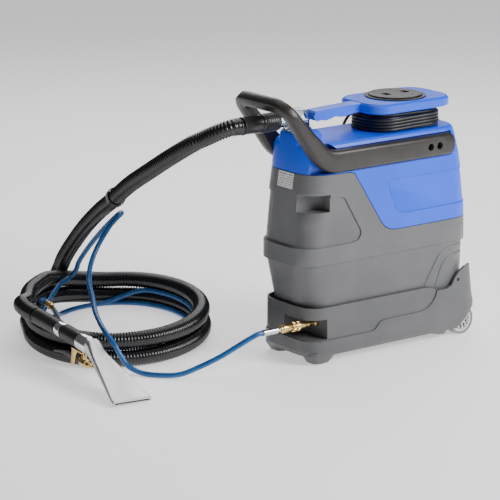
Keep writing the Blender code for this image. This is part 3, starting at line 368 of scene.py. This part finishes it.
def strand(name, points, radius, paint, swell=None, sides=4):
    """A round tube on a line of points, with its thickness at each point as a share of the radius."""
    curve = bpy.data.curves.new(name, "CURVE")
    curve.dimensions = "3D"
    curve.bevel_depth = radius
    curve.bevel_resolution = sides
    curve.use_fill_caps = True
    curve.materials.append(paint)
    spline = curve.splines.new("POLY")
    spline.points.add(len(points) - 1)
    for i, point in enumerate(points):
        spline.points[i].co = (*point, 1)
        if swell:
            spline.points[i].radius = swell[i % len(swell)]
    spline.use_smooth = True
    made = bpy.data.objects.new(name, curve)
    bpy.context.scene.collection.objects.link(made)
    return made


BEADS = {"outer": [(0.262, 0.2440), (0.240, 0.2420), (0.218, 0.2385), (0.199, 0.2320), (0.186, 0.2210),
                   (0.176, 0.2050), (0.160, 0.1780), (0.144, 0.1500)],
         "inner": [(0.266, 0.2220), (0.246, 0.2205), (0.227, 0.2170), (0.211, 0.2080), (0.200, 0.1960),
                   (0.190, 0.1700), (0.181, 0.1440)]}
BEAD_SINK = 0.0022
for name, line in BEADS.items():
    for side, sign in (("right", -1), ("left", 1)):
        route = [(x, sign * (tank_side(x, z) - BEAD_SINK), z) for x, z in line]
        bead = strand(f"{name}_bead_{side}", smooth_line(route, 0.003)[0], 0.0042, GREY)
        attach(bead, "upper")
moulded("tank_outlet", finish("dull_brass", (0.50, 0.36, 0.15), (0.62, 0.44, 0.18), (0.4, 0.25), (1500, 0.1),
                              40, 1.0), "upper", 0.0006)

# Rating label: a white plastic film stuck to the tank's front lip. Its print is shown as rows of small grey
# marks.
LABEL = finish("label_film", (0.78, 0.78, 0.76), (0.84, 0.84, 0.82), (0.45, 0.35), (400, 0.05))
INK = finish("label_ink", (0.11, 0.11, 0.12), (0.16, 0.16, 0.17), (0.5, 0.4))
moulded("rating_label", LABEL, "upper", 0.0002, 1)
LIP_LOW, LIP_HIGH = Vector((-0.2385, 0, 0.437)), Vector((-0.2310, 0, 0.488))
LIP_UP = (LIP_HIGH - LIP_LOW).normalized()
LIP_OUT = Vector((-LIP_UP.z, 0, LIP_UP.x))
LABEL_TURN = Matrix((LIP_OUT, Y, LIP_UP)).transposed()
TOP_ROW, ROW_DROP, ABOVE_LIP = 0.0395, 0.0058, 0.00104
LINE_START, LINE_STOP = 0.0225, -0.029
marks = bmesh.new()
printed = random.Random(11)
for row in range(6):
    y = LINE_START
    while y > LINE_STOP:
        width = printed.uniform(0.0025, 0.0080)
        height = 0.0016 if row else 0.0028
        centre = LIP_LOW + (TOP_ROW - ROW_DROP * row) * LIP_UP + ABOVE_LIP * LIP_OUT + (y - width / 2) * Y
        if printed.random() < 0.86:
            bar(marks, centre, (0.0001, width, height), LABEL_TURN)
        y -= width + printed.uniform(0.0010, 0.0022)
piece("label_marks", marks, INK, "upper")

# Recovery tank: the upper blue polyethylene moulding, seated on the solution tank. It has a recessed wing
# with a soft bead on each side, and channels for the handle.
BLUE = finish("blue_polyethylene", (0.005, 0.085, 0.800), (0.008, 0.105, 0.880), (0.40, 0.30), (500, 0.10), 6)
tank_faces = faces_of(moulded("recovery_tank", BLUE, "upper", 0.0020, 3, 30))
WING_LINE = [(0.262, 0.4436), (0.180, 0.4431), (0.100, 0.4427), (0.034, 0.4422), (0.0195, 0.4395),
             (0.0190, 0.4310), (0.0260, 0.4080), (0.0345, 0.3800), (0.0420, 0.3655), (0.0560, 0.3563),
             (0.0780, 0.3522), (0.1300, 0.3526), (0.2000, 0.3532), (0.2620, 0.3538)]
WING_SINK = 0.0006
for side, sign in (("right", -1), ("left", 1)):
    edge = []
    for point in smooth_line([(x, 0, z) for x, z in WING_LINE], 0.004)[0]:
        hit = tank_faces.ray_cast(Vector((point.x, sign * OUTSIDE, point.z)), -sign * Y)[0]
        if hit:
            edge.append(hit - sign * WING_SINK * Y)
    bead = strand(f"wing_bead_{side}", edge, 0.0018, BLUE, sides=3)
    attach(bead, "upper")

# Handle: one dark moulded plastic loop that lies in the tank's channels. Two recessed plated bolts hold it on
# each side.
HANDLE = finish("handle_plastic", (0.018, 0.015, 0.013), (0.030, 0.025, 0.022), (0.38, 0.28), (900, 0.45), 12)
moulded("handle", HANDLE, "upper", 0.0012, 2, 35)
for side in ("right", "left"):
    for place in ("front", "rear"):
        moulded(f"handle_bolt_{place}_{side}", ZINC, "upper", 0.0004)

# Cord winder: a blue plate on an oval spool, with a finger grip to the front; a black ring holds it down
# and a black cover with two finger wells screws into the ring.
moulded("cord_winder", BLUE, "upper", 0.0020, 3, 32)
BLACK = finish("black_plastic", (0.014, 0.014, 0.015), (0.024, 0.024, 0.025), (0.44, 0.30), (1000, 0.25), 20)
moulded("deck_ring", BLACK, "upper", 0.0006)
moulded("deck_cap", BLACK, "cap", 0.0008)

# Inlet dome: clear moulded plastic, seen through to the hose stub. It stands on a black rubber gasket, and
# six small screws hold it down.
CLEAR = bpy.data.materials.new("clear_plastic")
CLEAR.use_nodes = True
clear = CLEAR.node_tree.nodes["Principled BSDF"]
clear.inputs["Base Color"].default_value = (0.82, 0.90, 0.98, 1)
clear.inputs["Transmission Weight"].default_value = 1.0
clear.inputs["IOR"].default_value = 1.45
haze = CLEAR.node_tree.nodes.new("ShaderNodeTexNoise")
haze.inputs["Scale"].default_value = 90
cloud = CLEAR.node_tree.nodes.new("ShaderNodeMapRange")
cloud.inputs["To Min"].default_value, cloud.inputs["To Max"].default_value = 0.03, 0.12
where = CLEAR.node_tree.nodes.new("ShaderNodeTexCoord")
CLEAR.node_tree.links.new(where.outputs["Object"], haze.inputs["Vector"])
CLEAR.node_tree.links.new(haze.outputs["Fac"], cloud.inputs["Value"])
CLEAR.node_tree.links.new(cloud.outputs["Result"], clear.inputs["Roughness"])
moulded("inlet_dome", CLEAR, "upper", crease=40)
moulded("dome_gasket", RUBBER_BLACK, "upper", 0.0004)
dome_low, dome_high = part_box("dome_gasket")
dome_centre = (dome_low + dome_high) / 2
DOME_SCREWS, SCREW_CIRCLE, FLANGE_RISE = 6, 0.0325, 0.0033
dome_screws = bmesh.new()
for step in range(DOME_SCREWS):
    turn = math.tau * (step + 0.5) / DOME_SCREWS
    foot = Vector((dome_centre.x + SCREW_CIRCLE * math.cos(turn), SCREW_CIRCLE * math.sin(turn),
                   dome_high.z + FLANGE_RISE))
    disc_screw(dome_screws, foot, Z, 0.0021)
piece("dome_screws", dome_screws, ZINC, "upper")

# Air pipe, float cage and float, inside the tanks: cream plastic mouldings round a light foam ball, which
# rises with the dirty water and closes the pipe.
moulded("air_pipe", CREAM, "upper", 0.0004)
moulded("float_cage", CREAM, "upper", 0.0005)
moulded("float_ball", finish("float_foam", (0.76, 0.76, 0.74), (0.82, 0.82, 0.80), (0.55, 0.45), (1500, 0.3)),
        "ball")

# Vacuum motor, its fan and the water pump, inside the base: plated steel cans with a black plastic pump head,
# standing in the housing. The fan turns on the motor's axis.
STEEL = finish("bright_steel", (0.66, 0.66, 0.68), (0.76, 0.76, 0.78), (0.20, 0.09), (1800, 0.03), 25, 1.0)
moulded("vacuum_motor", ZINC, "base", 0.0008)
moulded("motor_fan", STEEL, "fan", 0.0005)
moulded("pump_motor", ZINC, "base", 0.0008)
moulded("pump_head", BLACK, "base", 0.0010)

# Rocker switches: two black plastic rockers in a black plate on the back of the upper body. Two screws hold
# the plate, and each rocker has a short white line.
moulded("switch_plate", BLACK, "upper", 0.0008)
moulded("pump_switch", BLACK, "pump_rocker", 0.0006)
moulded("vacuum_switch", BLACK, "vacuum_rocker", 0.0006)
plate_low, plate_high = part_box("switch_plate")
plate_screws = bmesh.new()
for y in (plate_low.y + 0.0040, plate_high.y - 0.0040):
    disc_screw(plate_screws, Vector((0.2930, y, 0.4520)), Vector((0.97, 0, 0.24)), 0.0024)
piece("switch_plate_screws", plate_screws, ZINC, "upper")
PRINT = finish("white_print", (0.70, 0.70, 0.69), (0.76, 0.76, 0.75), (0.5, 0.4))
for name, y in (("pump", -0.0145), ("vacuum", 0.0145)):
    mark = bmesh.new()
    bar(mark, Vector((0.29535, y, 0.4450)), (0.0002, 0.0008, 0.0050))
    piece(f"{name}_rocker_mark", mark, PRINT, f"{name}_rocker")

# Water coupling: turned brass in the corner pocket. A knurled sleeve slides on it, and a steel ferrule is
# crimped on to the end of the solution line.
BRASS = finish("brass", (0.58, 0.41, 0.16), (0.74, 0.53, 0.23), (0.34, 0.18), (1600, 0.05), 45, 1.0)
for node in ("bulkhead_nipple", "coupling_body"):
    moulded(node, BRASS, "base", 0.0005)
moulded("coupling_sleeve", BRASS, "sleeve", 0.0003)
moulded("hose_ferrule", STEEL, "base", 0.0005)
sleeve_low, sleeve_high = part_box("coupling_sleeve")
sleeve_centre = (sleeve_low + sleeve_high) / 2
KNURLS, KNURL_REACH, BAND_INSET = 36, 0.0121, 0.0043
knurls = bmesh.new()
for band in (sleeve_low.x + BAND_INSET, sleeve_high.x - BAND_INSET):
    for step in range(KNURLS):
        turn = math.tau * step / KNURLS
        out = Vector((0, math.cos(turn), math.sin(turn)))
        spot = Vector((band, sleeve_centre.y, sleeve_centre.z)) + KNURL_REACH * out
        bar(knurls, spot, (0.0064, 0.0008, 0.0008), Matrix.Rotation(turn + math.pi / 4, 3, "X"))
piece("sleeve_knurls", knurls, BRASS, "sleeve")
FIRST_CRIMP, CRIMP_STEP = -0.3100, 0.0085
crimps = bmesh.new()
for step in range(4):
    spun(crimps, [(0.0080, 0), (0.0087, 0.0008), (0.0087, 0.0022), (0.0080, 0.0030)],
         Vector((FIRST_CRIMP - CRIMP_STEP * step, sleeve_centre.y, sleeve_centre.z)), -X, 24)
piece("ferrule_crimps", crimps, STEEL, "base")

# Hand tool: chromed tube with a ring and a collar, two ribbed rubber grips, and a flat flared steel head
# whose welded seam runs down both edges. It lies with its lip on the floor.
TOOL_END = Vector((-0.726, 0.376, 0.112))
TOOL_AIM = (Vector((-0.7225, 0.140, 0.0865)) - TOOL_END).normalized()
TOOL_SIDE = TOOL_AIM.cross(Z).normalized()
TOOL_LOW = TOOL_AIM.cross(TOOL_SIDE).normalized()


def on_tool(along, low=0.0, side=0.0):
    """A point of the hand tool: along its tube, towards the floor from it, and to its side."""
    return TOOL_END + along * TOOL_AIM + low * TOOL_LOW + side * TOOL_SIDE


def dressed(node, paint, edge, segments=2):
    """Shows the frame's own piece, painted, with corners welded, flats joined and edges rounded."""
    shown = frame["nodes"][node]
    shown.data.materials.clear()
    shown.data.materials.append(paint)
    shown.data.shade_smooth()
    weld = shown.modifiers.new("welded", "WELD")
    weld.merge_threshold = WELD_GAP
    flats = shown.modifiers.new("flats", "DECIMATE")
    flats.decimate_type = "DISSOLVE"
    flats.angle_limit = FLAT_ANGLE
    eased(shown, edge, segments)


dressed("wand_tube", STEEL, 0.0005)
SATIN = finish("satin_steel", (0.60, 0.60, 0.61), (0.68, 0.68, 0.69), (0.40, 0.32), (1800, 0.03), 12, 1.0)
dressed("wand_head", SATIN, 0.0012, 3)
GRIP = finish("grip_rubber", (0.011, 0.011, 0.012), (0.020, 0.020, 0.021), (0.42, 0.30), (1200, 0.2), 25)
GRIP_COLLAR, GRIP_RIB = 0.0070, 0.0062
for node, start, length in (("rear_grip", 0.0008, 0.099), ("front_grip", 0.1250, 0.070)):
    grip = bmesh.new()
    profile = [(0.0167, 0), (0.0192, 0), (0.0206, 0.0025), (0.0206, 0.0070)]
    ribs = round((length - 2 * GRIP_COLLAR) / GRIP_RIB)
    for rib in range(ribs):
        along = GRIP_COLLAR + (length - 2 * GRIP_COLLAR) * rib / ribs
        step = (length - 2 * GRIP_COLLAR) / ribs
        profile += [(0.0196, along + 0.15 * step), (0.0196, along + 0.35 * step),
                    (0.0205, along + 0.5 * step), (0.0205, along + 0.9 * step)]
    profile += [(0.0206, length - 0.0060), (0.0204, length - 0.0020), (0.0190, length), (0.0167, length)]
    spun(grip, profile, on_tool(start), TOOL_AIM, 40)
    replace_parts(piece(f"{node}_sleeve", grip, GRIP, "base", 50), node)
dressed("spray_valve", BRASS, 0.0005)
dressed("trigger", BLACK, 0.0010)
dressed("valve_plunger", STEEL, 0.0004)
moulded("line_fitting", BRASS, "base", 0.0005)
HEAD_START = on_tool(0.2403)
LIP_MIDDLE = Vector((-0.755, -0.087, 0.0080))
HEAD_AIM = (LIP_MIDDLE - HEAD_START).normalized()
HEAD_LENGTH = (LIP_MIDDLE - HEAD_START).length
HEAD_ACROSS = HEAD_AIM.cross(Z).normalized()
HEAD_FACE = HEAD_ACROSS.cross(HEAD_AIM).normalized()
for name, sign in (("near", -1), ("far", 1)):
    edge = ((0.050, 0.0222), (HEAD_LENGTH - 0.032, 0.0468), (HEAD_LENGTH - 0.012, 0.0502))
    seam = [HEAD_START + along * HEAD_AIM + sign * half * HEAD_ACROSS for along, half in edge]
    bead = strand(f"head_seam_{name}", smooth_line(seam, 0.006)[0], 0.0010, STEEL, sides=2)
    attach(bead, "base")
weld = bmesh.new()
spun(weld, [(0.0196, 0), (0.0212, 0.0012), (0.0204, 0.0034), (0.0190, 0.0040)], on_tool(0.2395), TOOL_AIM, 36)
piece("collar_weld", weld, STEEL, "base", 60)
JET_FOOT = HEAD_START + 0.118 * HEAD_AIM - 0.0150 * HEAD_FACE
SPRAY_ROUTE = [on_tool(0.2385, 0.050), on_tool(0.2470, 0.0500), on_tool(0.2580, 0.0485),
               JET_FOOT - 0.040 * HEAD_AIM - 0.004 * HEAD_FACE, JET_FOOT - 0.012 * HEAD_AIM,
               JET_FOOT + 0.001 * HEAD_AIM]
spray_pipe = strand("spray_pipe", smooth_line(SPRAY_ROUTE, 0.004)[0], 0.0025, BRASS, sides=3)
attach(spray_pipe, "base")
FITTING_AXIS = Vector((-0.22, -0.97, -0.05)).normalized()
FITTING_START = Vector((-0.6640, 0.425, 0.1235))
SUPPLY = finish("supply_tube", (0.012, 0.012, 0.013), (0.02, 0.02, 0.021), (0.35, 0.25), (1200, 0.1))
SUPPLY_ROUTE = [FITTING_START + 0.0350 * FITTING_AXIS, FITTING_START + 0.048 * FITTING_AXIS,
                on_tool(0.060, 0.004, -0.034), on_tool(0.110, 0.014, -0.031), on_tool(0.150, 0.030, -0.027),
                on_tool(0.180, 0.044, -0.022), on_tool(0.203, 0.0500, -0.0090)]
supply = strand("supply_tube", smooth_line(SUPPLY_ROUTE, 0.004)[0], 0.0035, SUPPLY, sides=3)
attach(supply, "base")

# Vacuum hose: glossy black corrugated vinyl. A ribbed boot and a smooth cuff push on to the dome's stub;
# the hose sags to the floor, lies in two turns and rises to the hand tool.
HOSE = finish("hose_vinyl", (0.004, 0.004, 0.0045), (0.008, 0.008, 0.009), (0.30, 0.20), (500, 0.08), 30,
              coat=0.25)
HOSE_DIAMETER = 0.044
COIL_MIDDLE = Vector((-0.439, 0.445, 0))
ACROSS, AWAY = Vector((0.8, -0.6, 0)), Vector((0.6, 0.8, 0))
COIL_ACROSS, COIL_AWAY = 0.222, 0.305


def coil_point(turn, out, z):
    """A point on the oval of the floor coil, turned by degrees, and out from the middle of the hose."""
    angle = math.radians(turn)
    return (COIL_MIDDLE + (COIL_ACROSS + out) * math.cos(angle) * ACROSS
            + (COIL_AWAY + out) * math.sin(angle) * AWAY + z * Z)


def eased_between(marks, turn):
    """The value at a turn, easing from each (turn, value) mark to the next."""
    if turn <= marks[0][0]:
        return marks[0][1]
    for (a, low), (b, high) in zip(marks, marks[1:]):
        if turn <= b:
            share = (turn - a) / (b - a)
            return low + (high - low) * share * share * (3 - 2 * share)
    return marks[-1][1]


SPAN = [(-0.3714, 0.000, 0.611), (-0.3970, 0.001, 0.6106), (-0.4230, 0.021, 0.5990),
        (-0.4430, 0.052, 0.5810), (-0.4600, 0.082, 0.5630), (-0.4720, 0.150, 0.5230),
        (-0.4720, 0.238, 0.4740), (-0.4600, 0.349, 0.4160), (-0.4480, 0.448, 0.3550),
        (-0.4360, 0.522, 0.3130), (-0.4260, 0.600, 0.2600), (-0.4170, 0.672, 0.2020),
        (-0.4130, 0.730, 0.1450), (-0.4110, 0.767, 0.0960), coil_point(137.5, 0.0540, 0.0540),
        coil_point(144, 0.0470, 0.0290), coil_point(151, 0.0380, 0.0225), coil_point(161, 0.0235, 0.0225)]
HOSE_OUT = [(160, 0.024), (188, 0.000), (360, 0.001), (600, -0.004), (893, 0.0)]
HOSE_RISE = [(160, 0.0225), (452, 0.0225), (532, 0.0668), (818, 0.0668), (886, 0.1112)]
TURN_STEP = 9
hose_turns = [coil_point(turn, eased_between(HOSE_OUT, turn), eased_between(HOSE_RISE, turn))
              for turn in range(171, 882, TURN_STEP)]
HOSE_TAIL = [(-0.5950, 0.606, 0.1112), (-0.6350, 0.560, 0.1120), (-0.6720, 0.508, 0.1135),
             TOOL_END - 0.085 * TOOL_AIM + Vector((0.010, 0, 0)), TOOL_END - 0.040 * TOOL_AIM,
             TOOL_END - 0.0020 * TOOL_AIM]
RIB_STEP = 0.0019
hose_line, hose_length = smooth_line(SPAN + hose_turns + HOSE_TAIL, RIB_STEP)
hose_curve = strand("vacuum_hose_curve", hose_line, HOSE_DIAMETER / 2, HOSE, (1.0, 0.94, 0.86, 0.94), 5)


def bending(name, curve):
    """The mesh of a strand, made from its evaluated curve, which is then removed; the mesh keeps world
    coordinates.
    """
    mesh = bpy.data.meshes.new_from_object(curve.evaluated_get(bpy.context.evaluated_depsgraph_get()))
    made = bpy.data.objects.new(name, mesh)
    bpy.context.scene.collection.objects.link(made)
    bpy.data.objects.remove(curve)
    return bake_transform(made)


hose = bending("vacuum_hose_run", hose_curve)
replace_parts(hose, "vacuum_hose", "hose_coil", "hose_tail")
INLET_Z = 0.611
boot = bmesh.new()
boot_profile = [(0.0176, 0), (0.0212, 0), (0.0222, 0.002), (0.0228, 0.006)]
FIRST_RIB, BOOT_RIB = 0.010, 0.0064
for rib in range(5):
    along = FIRST_RIB + BOOT_RIB * rib
    boot_profile += [(0.0236, along), (0.0236, along + 0.0026), (0.0222, along + 0.0036),
                     (0.0222, along + 0.0054)]
boot_profile += [(0.0230, 0.0440), (0.0240, 0.0465), (0.0240, 0.0520), (0.0232, 0.0535), (0.0176, 0.0535)]
spun(boot, boot_profile, Vector((-0.2600, 0, INLET_Z)), -X, 48)
CUFF = finish("cuff_rubber", (0.012, 0.012, 0.013), (0.022, 0.022, 0.023), (0.42, 0.28), (900, 0.2), 25)
boot_piece = piece("hose_boot_ribbed", boot, CUFF, "upper", 50)
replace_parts(boot_piece, "hose_boot")
cuff_piece = moulded("hose_cuff", CUFF, "upper", 0.0008)
clip_shape = bmesh.new()
clip_shape.from_mesh(frame["nodes"]["hose_clip"].data)
bmesh.ops.remove_doubles(clip_shape, verts=clip_shape.verts, dist=WELD_GAP)
clip_mesh = bpy.data.meshes.new("hose_clip_band")
clip_shape.to_mesh(clip_mesh)
clip_shape.free()
clip_mesh.materials.append(BLACK)
clip_piece = bpy.data.objects.new("hose_clip_band", clip_mesh)
bpy.context.scene.collection.objects.link(clip_piece)
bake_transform(clip_piece)
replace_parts(clip_piece, "hose_clip")

# Solution line: blue high-pressure hose, from the coupling along the floor and over the coil, clipped to the
# vacuum hose, then laid inside the coil and out to the fitting at the hand tool.
LINE_BLUE = finish("line_blue", (0.008, 0.080, 0.250), (0.014, 0.110, 0.320), (0.34, 0.22), (600, 0.1), 40)
LINE = [(-0.3490, -0.060, 0.101), (-0.3640, -0.060, 0.1004), (-0.3850, -0.055, 0.0910),
        (-0.4100, -0.045, 0.0765), (-0.4530, -0.025, 0.0500), (-0.4950, 0.000, 0.0270),
        (-0.5400, 0.020, 0.0110), (-0.5780, 0.053, 0.0075), (-0.6030, 0.092, 0.0080),
        (-0.6240, 0.121, 0.0220), (-0.6360, 0.138, 0.0480), (-0.6450, 0.153, 0.0760),
        (-0.6480, 0.185, 0.0985), (-0.6320, 0.232, 0.1080), (-0.6020, 0.300, 0.1200),
        (-0.5740, 0.356, 0.1430), (-0.5560, 0.396, 0.1680), (-0.5320, 0.424, 0.2020),
        (-0.4990, 0.440, 0.2430), (-0.4620, 0.442, 0.2880), (-0.4380, 0.440, 0.3100),
        (-0.4200, 0.446, 0.3180), (-0.4120, 0.468, 0.3120), (-0.4140, 0.500, 0.2880),
        (-0.4200, 0.545, 0.2480), (-0.4220, 0.600, 0.1980), (-0.4160, 0.655, 0.1480),
        (-0.4095, 0.678, 0.1220), (-0.4130, 0.691, 0.1050), (-0.4270, 0.6905, 0.0970)]
LINE_OUT = [(134, -0.024), (150, -0.031), (170, -0.030), (186, -0.0192), (428, -0.0192), (446, -0.030),
            (470, -0.0248), (858, -0.0248), (884, -0.042), (905, -0.030)]
LINE_RISE = [(134, 0.097), (186, 0.0446), (430, 0.0446), (470, 0.0072), (862, 0.0072), (907, 0.097)]
line_turns = [coil_point(turn, eased_between(LINE_OUT, turn), eased_between(LINE_RISE, turn))
              for turn in range(142, 900, TURN_STEP)]
LINE_END = [(-0.6120, 0.5350, 0.0970), (-0.6300, 0.4950, 0.1010), (-0.6480, 0.4600, 0.1130),
            FITTING_START - 0.014 * FITTING_AXIS, FITTING_START - 0.0010 * FITTING_AXIS]
line_points, line_length = smooth_line(LINE + line_turns + LINE_END, 0.006)
line = bending("solution_line_run", strand("solution_line_curve", line_points, 0.00675, LINE_BLUE))
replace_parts(line, "solution_line", "solution_line_end")
PUMP_HOSE = [(-0.1542, 0.045, 0.070), (-0.1590, 0.044, 0.070), (-0.1640, 0.032, 0.073),
             (-0.1580, 0.006, 0.082), (-0.1420, -0.032, 0.095), (-0.1380, -0.051, 0.1005),
             (-0.1470, -0.0595, 0.101), (-0.1657, -0.060, 0.101)]
pump_hose = strand("pump_hose_run", smooth_line(PUMP_HOSE, 0.005)[0], 0.006, LINE_BLUE, sides=3)
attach(pump_hose, "base")
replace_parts(pump_hose, "pump_hose")

# Power cord: round black cord, led from its strain relief over the back, wound in two layers on the spool
# and hanging down the far side to a moulded plug with brass blades.
CORD = finish("cord_jacket", (0.012, 0.012, 0.013), (0.022, 0.022, 0.023), (0.45, 0.32), (1500, 0.15), 30)
moulded("cord_gland", RUBBER_BLACK, "upper", 0.0004)
plug = moulded("power_plug", CORD, "upper", 0.0006)
blades = bmesh.new()
for x in (0.0437, 0.0563):
    bar(blades, Vector((x, 0.13665, 0.3348)), (0.0018, 0.0065, 0.0182))
spun(blades, [(0, 0), (0.0022, 0.0004), (0.00255, 0.0020), (0.00255, 0.0198), (0, 0.0198)],
     Vector((0.050, 0.1460, 0.3238)), Z, 16)
plug_blades = piece("plug_blades", blades, BRASS, "upper")
GLAND_AXIS = Vector((0.77, 0, 0.64)).normalized()
GLAND_FOOT = Vector((0.2915, 0.060, 0.430))
LEAD = [GLAND_FOOT + 0.0263 * GLAND_AXIS, GLAND_FOOT + 0.040 * GLAND_AXIS, (0.3255, 0.060, 0.476),
        (0.3200, 0.056, 0.510), (0.3030, 0.050, 0.542), (0.2800, 0.046, 0.566), (0.2580, 0.046, 0.580),
        (0.2420, 0.050, 0.586), (0.2230, 0.058, 0.592), (0.2000, 0.0635, 0.5970)]
CORD_TAIL = [(0.120, 0.0800, 0.592), (0.095, 0.0815, 0.592), (0.074, 0.0930, 0.588), (0.060, 0.1110, 0.573),
             (0.053, 0.1270, 0.545), (0.050, 0.1345, 0.510), (0.050, 0.1370, 0.470), (0.050, 0.1370, 0.430),
             (0.050, 0.1370, 0.4000)]
SPOOL_X, SPOOL_REACH, SPOOL_HALF, SPOOL_CORNER = 0.117, 0.096, 0.060, 0.045


def round_spool(share, out, z):
    """A point at a share of a full turn round the spool from its rear middle, and out from its wall.

    The way round is walked on the complex plane: a straight, then a quarter turn to the left, and so on.
    """
    half_x, half_y = SPOOL_REACH - SPOOL_CORNER, SPOOL_HALF - SPOOL_CORNER
    corner = SPOOL_CORNER + out
    arc = math.pi / 2 * corner
    along = share % 1 * (4 * half_x + 4 * half_y + 4 * arc)
    place, heading = complex(half_x + corner, 0), 1j
    for straight in (half_y, 2 * half_x, 2 * half_y, 2 * half_x, half_y):
        place += min(along, straight) * heading
        along -= straight
        if along <= 0:
            break
        turn = min(along, arc) / corner
        place += corner * heading * (math.sin(turn) + 1j * (1 - math.cos(turn)))
        along -= arc
        if along <= 0:
            break
        heading *= 1j
    return Vector((SPOOL_X + place.real, place.imag, z))


INNER, OUTER = 0.0047, 0.0128
CORD_OUT = [(0.03, INNER), (5.60, INNER), (5.95, OUTER), (11.0, OUTER)]
CORD_RISE = [(0.17, 0.5990), (0.40, 0.6008), (1.2, 0.5930), (2.2, 0.5850), (3.2, 0.5770), (4.2, 0.5690),
             (5.2, 0.5612), (6.3, 0.5612), (7.3, 0.5692), (8.3, 0.5772), (9.3, 0.5852), (10.20, 0.5918)]
FIRST_SHARE, TURNS_WOUND, STEPS_PER_TURN = 0.17, 10.02, 40
cord_turns = []
for step in range(int(TURNS_WOUND * STEPS_PER_TURN)):
    share = FIRST_SHARE + step / STEPS_PER_TURN
    cord_turns.append(round_spool(share, eased_between(CORD_OUT, share), eased_between(CORD_RISE, share)))
cord_points, cord_length = smooth_line(LEAD + cord_turns + CORD_TAIL, 0.004)
cord = strand("power_cord_run", cord_points, 0.004, CORD, sides=3)
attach(cord, "upper")
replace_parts(cord, "power_cord_lead", "power_cord_coil", "power_cord_tail")
